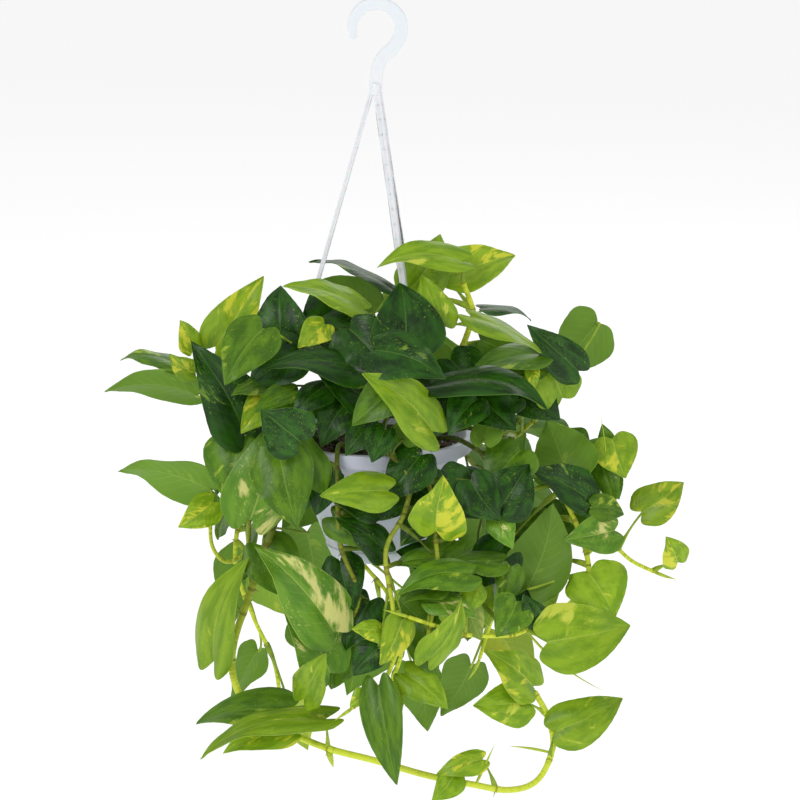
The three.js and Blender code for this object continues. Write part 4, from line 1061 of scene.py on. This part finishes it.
# Leaves past the CAD part's count, which cover the sides of the pot.
SIDE_LEAVES = [
    Row("right", 2.2, (116, 440, 6), (130, 494, 18), 50, -80, Tone.MID, False),
    Row("right", 2.0, (112, 448, -34), (122, 502, -46), 50, -100, Tone.DARK, False),
    Row("right", 2.5, (120, 472, 44), (128, 524, 58), 44, -70, Tone.MID, False),
    Row("back_right", 2.6, (102, 474, -72), (110, 530, -66), 48, -115, Tone.DARK, False),
    Row("right", 2.9, (118, 504, 0), (122, 562, -6), 50, -90, Tone.BRIGHT, False),
    Row("loop", 3.2, (108, 540, 34), (112, 596, 42), 44, -75, Tone.DARK, False),
    Row("right_high", 2.2, (110, 414, -60), (150, 438, -82), 46, -120, Tone.MID, False),
    Row("left_loop", 2.4, (-116, 446, 2), (-124, 502, 8), 50, 90, Tone.DARK, False),
    Row("left_loop", 2.9, (-118, 470, -34), (-126, 528, -44), 48, 100, Tone.MID, False),
    Row("left_loop", 4.0, (-120, 512, 0), (-128, 566, -8), 46, 85, Tone.MID, False),
    Row("back_left", 2.6, (-102, 452, -66), (-112, 508, -72), 46, 115, Tone.DARK, False),
    Row("left_loop", 2.1, (-108, 410, -40), (-146, 436, -56), 46, 120, Tone.BRIGHT, False),
]

# Rolled new leaves and buds: the vine, how far along it, where each ends and its greatest radius.
SPROUTS = (
    ("long", 9.0, (-43.0, 756.0, 102.0), 3.4),
    ("long", 12.1, (119.0, 731.0, 132.0), 1.6),
    ("long", 14.8, (132.0, 728.0, 96.0), 1.5),
    ("right", 6.4, (249.0, 408.0, 20.0), 1.6),
    ("loop", 8.6, (206.0, 690.0, 110.0), 1.4),
)


class Vine:
    """One vine: its stem, its leaf stalks and the leaves that grow on it."""

    STEPS = 12
    SPROUT = 7.0

    def __init__(self, name: str, route: Route) -> None:
        """Lays the stem's curve from the soil along its route."""
        self.name = name
        self.radius = route.radius
        angle, radius = route.root
        root = heading(angle) * radius + UP * (SOIL_TOP + SOIL_CROWN + 0.4)
        points = [root, root + UP * self.SPROUT]
        if route.over is not None:
            lift = route.radius + 0.4
            inside = WALL_TOP_RADIUS - POT_WALL - 12
            points.append(heading(route.over) * inside + UP * (RIM_TOP + lift + 3))
            points.append(heading(route.over) * (RIM_RADIUS + 4) + UP * (RIM_TOP + lift + 4))
        points = [point * MM for point in points] + [place(spot) for spot in route.route]
        self.places = len(points)
        self.path = catmull(points, self.STEPS)
        self.path[0] = self.path[0] - UP * 5 * MM
        self.nodes: list[float] = []
        self.rows: list[tuple[int, Row]] = []
        self.draw = random.Random(sum(map(ord, name)))

    def start(self, at: float) -> Vector:
        """The point of the stem that is a number of places past its sprout."""
        spot = min(max((at + 1) * self.STEPS, 1), len(self.path) - 2)
        low = int(spot)
        return self.path[low].lerp(self.path[low + 1], spot - low)

    def radius_at(self, spot: float) -> float:
        """The stem's radius, in metres, at a number of steps along its path."""
        share = spot / (len(self.path) - 1)
        swell = sum(math.exp(-(((spot - node) / 0.9) ** 2)) for node in self.nodes)
        return self.radius * blend(1.06, 0.8, share**1.5) * (1 + 0.14 * min(swell, 1.0)) * MM

    def bark_at(self, spot: float) -> float:
        """How corky the stem is at a number of steps along its path."""
        return min(1.0, sum(math.exp(-(((spot - node) / 0.5) ** 2)) for node in self.nodes))

    def grow(self, index: int, row: Row) -> None:
        """Gives the vine a leaf, and a node where its stalk starts."""
        self.rows.append((index, row))
        self.nodes.append(min((row.at + 1) * self.STEPS, len(self.path) - 2))

    def stem(self, bm: bmesh.types.BMesh) -> None:
        """Sweeps the stem at every half step of its path."""
        growth, bark = self.layers(bm)
        finer = [i / 2 for i in range(2 * (len(self.path) - 1) + 1)]
        points, spots, run = [], [], 0.0
        runs = []
        for spot in finer:
            low = min(int(spot), len(self.path) - 2)
            point = self.path[low].lerp(self.path[low + 1], spot - low)
            if points:
                run += (point - points[-1]).length
            points.append(point)
            spots.append(spot)
            runs.append(run)
        radii = [self.radius_at(spot) for spot in spots]
        radii[-1] *= 0.35
        whole = max(run, 1e-6)

        def mark(vert: bmesh.types.BMVert, number: int) -> None:
            """Writes the age and the cork of one corner of the stem."""
            corner = vert[bm.verts.layers.int["corner"]]
            vert[growth] = Vector((blend(0.12, 1.0, runs[number] / whole), runs[number], corner / 10))
            vert[bark] = Vector((self.bark_at(spots[number]), 0.0, (self.radius * 7.3) % 1))

        sweep(bm, round_stations(points, radii), ring(10), mark)

    def layers(self, bm: bmesh.types.BMesh) -> tuple[Any, Any]:
        """The mesh's layers that the stem's finish reads."""
        layers = bm.verts.layers
        for name in ("growth", "bark"):
            if name not in layers.float_vector:
                layers.float_vector.new(name)
        if "corner" not in layers.int:
            layers.int.new("corner")
        return layers.float_vector["growth"], layers.float_vector["bark"]

    def stalk(self, bm: bmesh.types.BMesh, row: Row, seed: int) -> None:
        """Sweeps a leaf's stalk: a winged sheath at the stem, a slim round middle and a swollen knee."""
        growth, bark = self.layers(bm)
        base, tip = place(row.base), place(row.tip)
        frame_ = BladeFrame.of(base, tip, row.roll)
        start = self.start(row.at)
        end = base - frame_.face * 0.7 * MM + frame_.along * 1.2 * MM
        span = (base - start).length
        under = end - frame_.face * 0.16 * span - frame_.along * 0.1 * span
        rise = start.lerp(under, 0.4) + UP * 0.12 * span
        steps = max(14, int(span / (5 * MM)))
        points = bezier(start, rise, under, end, steps)
        size = blend(0.85, 1.15, min(1.0, row.width / 60))
        stations = []
        for i, round_ in enumerate(round_stations(points, [1.0] * len(points))):
            share = i / steps
            thin = blend(1.75, 1.15, ease(0.0, 0.45, share)) + 0.45 * ease(0.9, 1.0, share)
            wing = 1 + 0.75 * (1 - ease(0.12, 0.42, share))
            slim = thin * size * MM
            stations.append(Station(round_.middle, round_.x * slim * wing, round_.y * slim))
        age = random.Random(seed).uniform(0.3, 0.9)

        def mark(vert: bmesh.types.BMVert, number: int) -> None:
            """Writes the age and the cork of one corner of the stalk."""
            corner = vert[bm.verts.layers.int["corner"]]
            share = number / steps
            vert[growth] = Vector((age, share * span, corner / 8))
            vert[bark] = Vector((0.25 * (1 - ease(0.0, 0.1, share)), 1.0, (seed % 31) / 31))

        sweep(bm, stations, ring(8), mark)

    def spike(self, bm: bmesh.types.BMesh, start: Vector, way: Vector, length: float, width: float) -> None:
        """Sweeps a rolled new leaf, or an aerial root if it is slim."""
        growth, bark = self.layers(bm)
        root = width < 1.2
        steps = 9
        bend = Vector((self.draw.uniform(-1, 1), self.draw.uniform(-1, 1), self.draw.uniform(-1, 1))) * 0.25
        points = [
            start + (way + bend * (i / steps)) * (length * MM * i / steps) for i in range(steps + 1)
        ]
        profile = [math.sin(math.pi * blend(0.22, 0.985, (i / steps) ** 0.8)) for i in range(steps + 1)]
        radii = [max(0.12, width * (blend(1, 0.3, i / steps) if root else profile[i])) * MM for i in range(steps + 1)]

        def mark(vert: bmesh.types.BMVert, number: int) -> None:
            """Writes the age and the cork of one corner."""
            vert[growth] = Vector((0.95, number / steps * length * MM, 0.3))
            vert[bark] = Vector((1.0 if root else 0.0, 0.0 if root else 0.6, 0.5))

        sweep(bm, round_stations(points, radii), ring(7), mark)

    def roots(self, bm: bmesh.types.BMesh) -> None:
        """Adds short aerial roots at the nodes that hang clear of the soil."""
        for node in sorted(self.nodes):
            low = int(node)
            if low < 3 * self.STEPS or self.draw.random() < 0.35:
                continue
            along = (self.path[low + 1] - self.path[low - 1]).normalized()
            way = Vector((self.draw.uniform(-1, 1), self.draw.uniform(-1, 0.4), -0.8))
            way = (way - along * way.dot(along)).normalized()
            start = self.path[low] + way * self.radius * 0.7 * MM
            self.spike(bm, start, way, self.draw.uniform(2.5, 6.5), 0.75)

    def build(self, materials: dict[Any, bpy.types.Material]) -> None:
        """Builds the stem's piece and the pieces of its leaves."""
        bm = bmesh.new()
        self.stem(bm)
        for index, row in self.rows:
            self.stalk(bm, row, index)
        self.roots(bm)
        way = (self.path[-1] - self.path[-3]).normalized()
        self.spike(bm, self.path[-1] - way * MM, way, 22, 1.9)
        for name, at, spot, width in SPROUTS:
            if name == self.name:
                start = self.start(at)
                way = place(spot) - start
                self.spike(bm, start, way.normalized(), way.length / MM, width)
        node = f"vine_{self.name}"
        piece(f"stem_{self.name}", bm, [materials["stem"]], [node])
        for tone in Tone:
            rows = [(index, row) for index, row in self.rows if row.tone is tone and not row.apart]
            if not rows:
                continue
            bm = bmesh.new()
            for index, row in rows:
                blade_of(index, row).build(bm)
            name = f"leaves_{self.name}_{tone.name.lower()}"
            piece(name, bm, [materials[tone]], [node])


def blade_of(index: int, row: Row) -> Blade:
    """The blade of a row of the table."""
    return Blade(place(row.base), place(row.tip), row.width * MM, row.roll, 1000 + index * 7)


class Plant:
    """All the vines and leaves."""

    def __init__(self) -> None:
        """Lays out the vines and hands out their leaves."""
        # The stems' painted shade is centred on the axis, 50 mm under the rim.
        self.materials: dict[Any, bpy.types.Material] = {"stem": StemFinish((0.0, 0.0, (RIM_TOP - 50) * MM)).material("vine_stem")}
        for tone, finish in LEAF_FINISHES.items():
            self.materials[tone] = finish.material(tone.value)
        self.vines = {name: Vine(name, route) for name, route in VINES.items()}
        for index, row in enumerate([*LEAVES, *SIDE_LEAVES]):
            self.vines[row.vine].grow(index, row)

    def build(self) -> None:
        """Builds every vine, then the large leaves that are pieces of their own."""
        for vine in self.vines.values():
            vine.build(self.materials)
        apart = [(index, row) for index, row in enumerate(LEAVES) if row.apart]
        for number, (index, row) in enumerate(apart, 1):
            bm = bmesh.new()
            blade_of(index, row).build(bm)
            name = f"leaf_{number:02d}"
            piece(f"blade_{number:02d}", bm, [self.materials[row.tone]], [name])


# ---- Pot and soil ----


@dataclass
class Pot:
    """The tapered pot with its rim skirt, foot band and drain holes."""

    height: float = POT_HEIGHT
    rim: float = RIM_RADIUS
    base: float = POT_BASE_RADIUS
    wall: float = POT_WALL
    floor: float = 2.4
    skirt: float = 14.0
    skirt_wall: float = 1.6
    foot: float = 12.5
    foot_step: float = 0.9
    holes: int = 5
    hole_radius: float = 4.0
    segments: int = 120

    def wall_radius(self, z: float) -> float:
        """The outside radius of the wall at a height."""
        share = (z - (RIM_TOP - self.height)) / self.height
        return blend(self.base, WALL_TOP_RADIUS, share)

    def profile(self) -> list[tuple[float, float]]:
        """The pot's section, from the middle of the base round to the middle of the floor."""
        low = RIM_TOP - self.height
        foot = low + self.foot
        flange = RIM_TOP - self.skirt_wall
        skirt = self.rim - self.skirt_wall
        floor = low + self.floor
        return [
            (0, low + 0.8), (self.base * 0.82, low + 0.8), (self.base * 0.86, low),
            (self.base, low), (self.wall_radius(foot) + self.foot_step, foot - self.foot_step),
            (self.wall_radius(foot), foot), (self.wall_radius(flange), flange), (skirt, flange),
            (skirt, RIM_TOP - self.skirt), (self.rim, RIM_TOP - self.skirt), (self.rim, RIM_TOP),
            (self.wall_radius(RIM_TOP) - self.wall, RIM_TOP),
            (self.wall_radius(floor) - self.wall, floor), (0, floor),
        ]

    def build(self, plastic: bpy.types.Material) -> None:
        """Spins the pot, rounds its edges and bores its drain holes."""
        bm = bmesh.new()
        verts = [bm.verts.new((r * MM, 0, z * MM)) for r, z in self.profile()]
        edges = [bm.edges.new(pair) for pair in zip(verts, verts[1:])]
        bmesh.ops.spin(
            bm, geom=[*verts, *edges], cent=(0, 0, 0), axis=(0, 0, 1), angle=2 * math.pi,
            steps=self.segments, use_merge=True,
        )
        bmesh.ops.remove_doubles(bm, verts=bm.verts[:], dist=1e-6)
        bmesh.ops.recalc_face_normals(bm, faces=bm.faces[:])
        sharp = [edge for edge in bm.edges if edge.calc_face_angle(0) > math.radians(25)]
        bmesh.ops.bevel(
            bm, geom=sharp, offset=0.45 * MM, segments=2, affect="EDGES", profile=0.5, material=-1,
            clamp_overlap=True,
        )
        for face in bm.faces:
            face.smooth = True
        made = piece("pot_shell", bm, [plastic], ["pot"])
        self.bore(made)

    def bore(self, made: bpy.types.Object) -> None:
        """Cuts the drain holes through the base."""
        bm = bmesh.new()
        low = (RIM_TOP - self.height) * MM
        for i in range(self.holes):
            at = heading(i * 360 / self.holes) * self.base * 0.6 * MM + UP * low
            bmesh.ops.create_cone(
                bm, cap_ends=True, segments=24, radius1=self.hole_radius * MM,
                radius2=self.hole_radius * MM, depth=20 * MM, matrix=Matrix.Translation(at),
            )
        mesh = bpy.data.meshes.new("bores")
        bm.to_mesh(mesh)
        bm.free()
        bores = bpy.data.objects.new("bores", mesh)
        bpy.context.scene.collection.objects.link(bores)
        cut = made.modifiers.new("drain", "BOOLEAN")
        cut.operation = "DIFFERENCE"
        cut.object = bores
        cut.solver = "EXACT"
        bpy.context.view_layer.update()
        whole = bpy.data.meshes.new_from_object(made.evaluated_get(bpy.context.evaluated_depsgraph_get()))
        made.modifiers.clear()
        made.data = whole
        bpy.data.objects.remove(bores)


@dataclass
class Soil:
    """The mound of potting soil, with bark chips and perlite on it."""

    pot: Pot
    segments: int = 96
    chips: int = 420
    seed: int = 5

    def edge(self, z: float) -> float:
        """The soil's radius at a height."""
        return self.pot.wall_radius(z) - self.pot.wall - 0.4

    def height_at(self, radius: float) -> float:
        """The mound's height at a distance from its middle."""
        share = radius / self.edge(SOIL_TOP)
        return SOIL_TOP + SOIL_CROWN * (1 - share**2)

    def build(self, earth: bpy.types.Material, crumb: bpy.types.Material) -> None:
        """Builds the mound and what lies on it."""
        low = RIM_TOP - self.pot.height + self.pot.floor + 0.4
        rings = 22
        top = [(self.edge(SOIL_TOP) * (1 - i / rings)) for i in range(rings + 1)]
        profile = [(0.0, low), (self.edge(low), low)] + [(r, self.height_at(r)) for r in top]
        bm = bmesh.new()
        verts = [bm.verts.new((r * MM, 0, z * MM)) for r, z in profile]
        edges = [bm.edges.new(pair) for pair in zip(verts, verts[1:])]
        bmesh.ops.spin(
            bm, geom=[*verts, *edges], cent=(0, 0, 0), axis=(0, 0, 1), angle=2 * math.pi,
            steps=self.segments, use_merge=True,
        )
        bmesh.ops.remove_doubles(bm, verts=bm.verts[:], dist=1e-6)
        bmesh.ops.recalc_face_normals(bm, faces=bm.faces[:])
        for vert in bm.verts:
            radius = math.hypot(vert.co.x, vert.co.y) / MM
            if vert.co.z / MM > SOIL_TOP - 1 and radius < self.edge(SOIL_TOP) - 1:
                vert.co.z += (noise.fractal(vert.co * 90, 0.8, 2.0, 4) * 1.6 - 1.0) * MM
        for face in bm.faces:
            face.smooth = True
        piece("soil_mound", bm, [earth], ["potting_soil"])
        self.scatter(crumb)

    def scatter(self, crumb: bpy.types.Material) -> None:
        """Scatters chips and perlite over the mound."""
        draw = random.Random(self.seed)
        bm = bmesh.new()
        layer = bm.verts.layers.float_vector.new("crumb")
        for _ in range(self.chips):
            radius = self.edge(SOIL_TOP) * 0.96 * math.sqrt(draw.random())
            at = heading(draw.uniform(0, 360)) * radius + UP * (self.height_at(radius) - 0.2)
            pale = draw.random() < 0.12
            size = draw.uniform(0.7, 1.5) if pale else draw.uniform(0.9, 3.2)
            flat = (1, 0.9, 0.85) if pale else (1, draw.uniform(0.35, 0.8), draw.uniform(0.2, 0.45))
            turn = Matrix.Rotation(draw.uniform(0, math.pi), 4, "Z") @ Matrix.Rotation(draw.uniform(-0.5, 0.5), 4, "X")
            grow = Matrix.Diagonal((*(size * MM * share for share in flat), 1))
            matrix = Matrix.Translation(at * MM) @ turn @ grow
            chip = bmesh.ops.create_icosphere(bm, subdivisions=1, radius=1, matrix=matrix)
            dark = draw.random()
            for vert in chip["verts"]:
                vert[layer] = Vector((float(pale), dark, 0))
        piece("soil_crumbs", bm, [crumb])


# ---- Hanger ----


@dataclass
class Hanger:
    """The one-piece hanger: hook, neck, hub, three ribbed arms and their clips."""

    inner: float = 18.8
    thickness: float = 5.0
    tip_width: float = 8.7
    top_width: float = 13.0
    tip_angle: float = 196.0
    side_angle: float = -38.0
    neck: float = 23.0
    hub_radius: float = 7.0
    hub_height: float = 12.0
    arms: tuple[float, ...] = (180, 60, -60)
    arm_width: float = 8.5
    arm_thickness: float = 2.2
    rib_width: float = 2.6
    rib_height: float = 2.2
    clip: float = 2.6
    gap: float = 0.4

    @property
    def hub_top(self) -> float:
        """The height of the hub's top."""
        return -self.inner * 2 - self.top_width - self.neck

    def width_at(self, t: float) -> float:
        """The hook's width at a share of its length from the tip."""
        return blend(self.tip_width, self.top_width, min(1.0, t / 0.37))

    def middle_at(self, t: float) -> Vector:
        """The middle of the hook's band at a share of its length from the tip."""
        ring_share = 0.8

        def on_ring(angle: float) -> Vector:
            """The point of the band's middle at an angle round the ring."""
            radius = self.inner + self.width_at(t) / 2
            return Vector((radius * math.cos(angle), 0, radius * math.sin(angle) - self.inner))

        side = math.radians(self.side_angle)
        if t <= ring_share:
            return on_ring(blend(math.radians(self.tip_angle), side, t / ring_share))
        start = on_ring(side)
        s = (t - ring_share) / (1 - ring_share)
        b = Vector((start.x * 0.55, 0, start.z - 14))
        c = Vector((0, 0, start.z - 10))
        d = Vector((0, 0, self.hub_top - self.hub_height / 2))
        return start * (1 - s) ** 3 + b * (3 * (1 - s) ** 2 * s) + c * (3 * (1 - s) * s * s) + d * s**3

    def hook(self, bm: bmesh.types.BMesh) -> None:
        """Sweeps the hook's band with rounded edges and a rounded tip."""
        steps = 110
        cap = 7
        half = self.thickness / 2
        corner = 1.3
        outline = rounded(1.0, 1.0, 0.3, 4)
        stations = []
        tip_way = (self.middle_at(0.01) - self.middle_at(0)).normalized()
        for i in range(cap):
            angle = math.pi / 2 * i / cap
            back = self.tip_width / 2 * math.cos(angle)
            share = math.sin(angle)
            across = Vector((0, 1, 0)).cross(tip_way)
            reach = max(0.15, self.tip_width / 2 * share)
            middle = self.middle_at(0) - tip_way * back
            stations.append(Station(middle * MM, across * reach * MM, Vector((0, half * blend(0.75, 1, share), 0)) * MM))
        for i in range(steps + 1):
            t = i / steps
            way = (self.middle_at(min(1, t + 0.005)) - self.middle_at(max(0, t - 0.005))).normalized()
            across = Vector((0, 1, 0)).cross(way)
            reach = self.width_at(t) / 2
            stations.append(Station(self.middle_at(t) * MM, across * reach * MM, Vector((0, half, 0)) * MM))
        LOG.debug("hook corner %s", corner)
        sweep(bm, stations, outline)

    def hub(self, bm: bmesh.types.BMesh) -> None:
        """Adds the hub where the arms meet."""
        matrix = Matrix.Translation(UP * (self.hub_top - self.hub_height / 2) * MM)
        made = bmesh.ops.create_cone(
            bm, cap_ends=True, segments=40, radius1=self.hub_radius * MM,
            radius2=self.hub_radius * 0.7 * MM, depth=self.hub_height * MM, matrix=matrix,
        )
        edges = {edge for vert in made["verts"] for edge in vert.link_edges if edge.calc_face_angle(0) > 0.8}
        bmesh.ops.bevel(
            bm, geom=list(edges), offset=1.2 * MM, segments=3, affect="EDGES", profile=0.5, material=-1,
            clamp_overlap=True,
        )

    def arm(self, bm: bmesh.types.BMesh, angle: float) -> None:
        """Sweeps one ribbed arm down to the rim, and adds its clip."""
        outward = heading(angle)
        w, r, f = self.arm_width / 2, self.rib_width / 2, self.arm_thickness / 2
        rib = f + self.rib_height
        e = 0.35
        outline = [
            (-w + e, -f), (w - e, -f), (w, -f + e), (w, f - e), (w - e, f), (r + e, f), (r, f + e),
            (r, rib - e), (r - e, rib), (-r + e, rib), (-r, rib - e), (-r, f + e), (-r - e, f),
            (-w + e, f), (-w, f - e), (-w, -f + e),
        ]
        radius = RIM_RADIUS + self.gap
        shoulder = RIM_TOP + 6
        top = outward * self.hub_radius * 0.35 + UP * (self.hub_top - self.hub_height * 0.6)
        foot = outward * (radius + self.clip / 2) + UP * shoulder
        way = (foot - top).normalized()
        side = outward.cross(way).normalized()
        face = way.cross(side)
        stations = []
        for i in range(25):
            share = i / 24
            # The arm is a little wider at the hub, and widens again into its clip.
            wide = 1 + 0.12 * (1 - ease(0, 0.3, share)) - 0.12 * ease(0.4, 0.85, share)
            middle = top.lerp(foot, share)
            stations.append(Station(middle * MM, side * wide * MM, face * MM))
        sweep(bm, stations, outline)
        self.clip_on(bm, outward, radius, shoulder)

    def clip_on(self, bm: bmesh.types.BMesh, outward: Vector, radius: float, shoulder: float) -> None:
        """Adds the tab down the outside of the skirt and the lip that turns in under it."""
        lip_top = RIM_TOP - 14 - self.gap
        low = lip_top - self.clip
        side = UP.cross(outward)
        turn = Matrix((outward, side, UP)).transposed().to_4x4()
        tab_high = shoulder + 3
        boxes = [
            (radius + self.clip / 2, (tab_high + low) / 2, self.clip, tab_high - low),
            (radius + (self.clip - 2.6) / 2, (lip_top + low) / 2, self.clip + 2.6, self.clip),
        ]
        for reach, z, deep, high in boxes:
            middle = outward * reach + UP * z
            size = Matrix.Diagonal((deep * MM, self.arm_width * MM, high * MM, 1))
            made = bmesh.ops.create_cube(bm, size=1, matrix=Matrix.Translation(middle * MM) @ turn @ size)
            edges = {edge for vert in made["verts"] for edge in vert.link_edges}
            bmesh.ops.bevel(
                bm, geom=list(edges), offset=0.5 * MM, segments=2, affect="EDGES", profile=0.5,
                material=-1, clamp_overlap=True,
            )

    def build(self, plastic: bpy.types.Material) -> None:
        """Builds the hanger as one piece."""
        bm = bmesh.new()
        self.hook(bm)
        self.hub(bm)
        for angle in self.arms:
            self.arm(bm, angle)
        for face in bm.faces:
            face.smooth = True
        for edge in bm.edges:
            edge.smooth = edge.calc_face_angle(0) < math.radians(35)
        piece("hanger_moulding", bm, [plastic], ["hanger"])


def rounded(half_x: float, half_y: float, corner: float, steps: int) -> list[tuple[float, float]]:
    """The outline of a rectangle with rounded corners, anticlockwise."""
    out = []
    for sx, sy, first in ((1, 1, 0), (-1, 1, 90), (-1, -1, 180), (1, -1, 270)):
        for i in range(steps + 1):
            angle = math.radians(first + 90 * i / steps)
            x = sx * (half_x - corner) + corner * math.cos(angle)
            y = sy * (half_y - corner) + corner * math.sin(angle)
            out.append((x, y))
    return out


# ---- Studio ----


@dataclass
class Studio:
    """The pale floor, the soft light and the camera."""

    aim: Vector = field(default_factory=lambda: Vector((0.024, 0.0, -0.3989)))
    distance: float = 12.0
    view_height: float = 0.8
    elevation: float = 14.0
    sensor: float = 36.0
    ambient: float = 0.6

    def build(self) -> None:
        """Sets up everything that is not part of the object."""
        self.floor()
        self.lights()
        self.camera()

    def floor(self) -> None:
        """Lays the floor well under the plant."""
        bm = bmesh.new()
        bmesh.ops.create_circle(
            bm, cap_ends=True, radius=14, segments=96, matrix=Matrix.Translation((0, 0, -1.0))
        )
        mesh = bpy.data.meshes.new("studio_floor")
        bm.to_mesh(mesh)
        bm.free()
        g = Graph("studio_floor")
        cloud = g.noise(g.spot(), 0.7, 2.0)
        pale = g.mix(cloud, tint(250, 250, 250), tint(247, 247, 247))
        white = (1, 1, 1, 1)
        mesh.materials.append(
            g.feed(base_color=pale, roughness=0.9, emission_color=white, emission_strength=0.35)
        )
        made = bpy.data.objects.new("studio_floor", mesh)
        bpy.context.scene.collection.objects.link(made)

    def lights(self) -> None:
        """Adds a large soft key, a fill, a top light and a bright pale world."""
        self.area("key", (-1.6, -2.6, 1.5), 1.3, 26)
        self.area("fill", (2.4, -1.8, 0.3), 1.6, 7)
        self.area("back", (0.6, 2.6, 1.2), 1.6, 12)
        world = bpy.data.worlds.new("studio")
        world.use_nodes = True
        tree = world.node_tree
        path = tree.nodes.new("ShaderNodeLightPath")
        # The backdrop is white, and the light that it sheds is softer.
        shed = tree.nodes.new("ShaderNodeMapRange")
        shed.inputs["To Min"].default_value = self.ambient
        tree.links.new(path.outputs["Is Camera Ray"], shed.inputs["Value"])
        back = tree.nodes["Background"]
        back.inputs["Color"].default_value = (1, 1, 1, 1)
        tree.links.new(shed.outputs[0], back.inputs["Strength"])
        scene = bpy.context.scene
        scene.world = world
        scene.view_settings.view_transform = "Standard"

    def area(self, name: str, at: Triple, size: float, power: float) -> None:
        """Adds one area light that faces the plant."""
        data = bpy.data.lights.new(name, "AREA")
        data.size = size
        data.energy = power
        made = bpy.data.objects.new(name, data)
        made.location = at
        made.rotation_euler = (Vector((0, 0, -0.45)) - Vector(at)).to_track_quat("-Z", "Y").to_euler()
        bpy.context.scene.collection.objects.link(made)

    def camera(self) -> None:
        """Puts the camera in front, a little above the plant, with a long lens."""
        data = bpy.data.cameras.new("camera")
        data.sensor_width = self.sensor
        data.lens = self.sensor * self.distance / self.view_height
        data.clip_end = 60
        lift = math.radians(self.elevation)
        made = bpy.data.objects.new("camera", data)
        made.location = self.aim + Vector((0, -math.cos(lift), math.sin(lift))) * self.distance
        made.rotation_euler = (math.radians(90) - lift, 0, 0)
        bpy.context.scene.collection.objects.link(made)
        bpy.context.scene.camera = made


def main() -> None:
    """Builds the whole part and its studio."""
    logging.basicConfig(level=logging.INFO, format="%(name)s: %(message)s")
    Studio().build()
    pot = Pot()
    # Painted shade: the pot is given the lavender look of the white plastic in shade, darker than the hanger's.
    pot.build(PlasticFinish(tint(234, 236, 252), tint(206, 210, 242)).material("pot_plastic_shaded"))
    Soil(pot).build(SoilFinish().material("soil"), CrumbFinish().material("soil_crumbs"))
    Hanger().build(PlasticFinish(tint(248, 249, 252), tint(234, 236, 244)).material("hanger_plastic"))
    Plant().build()


if __name__ == "__main__":
    main()
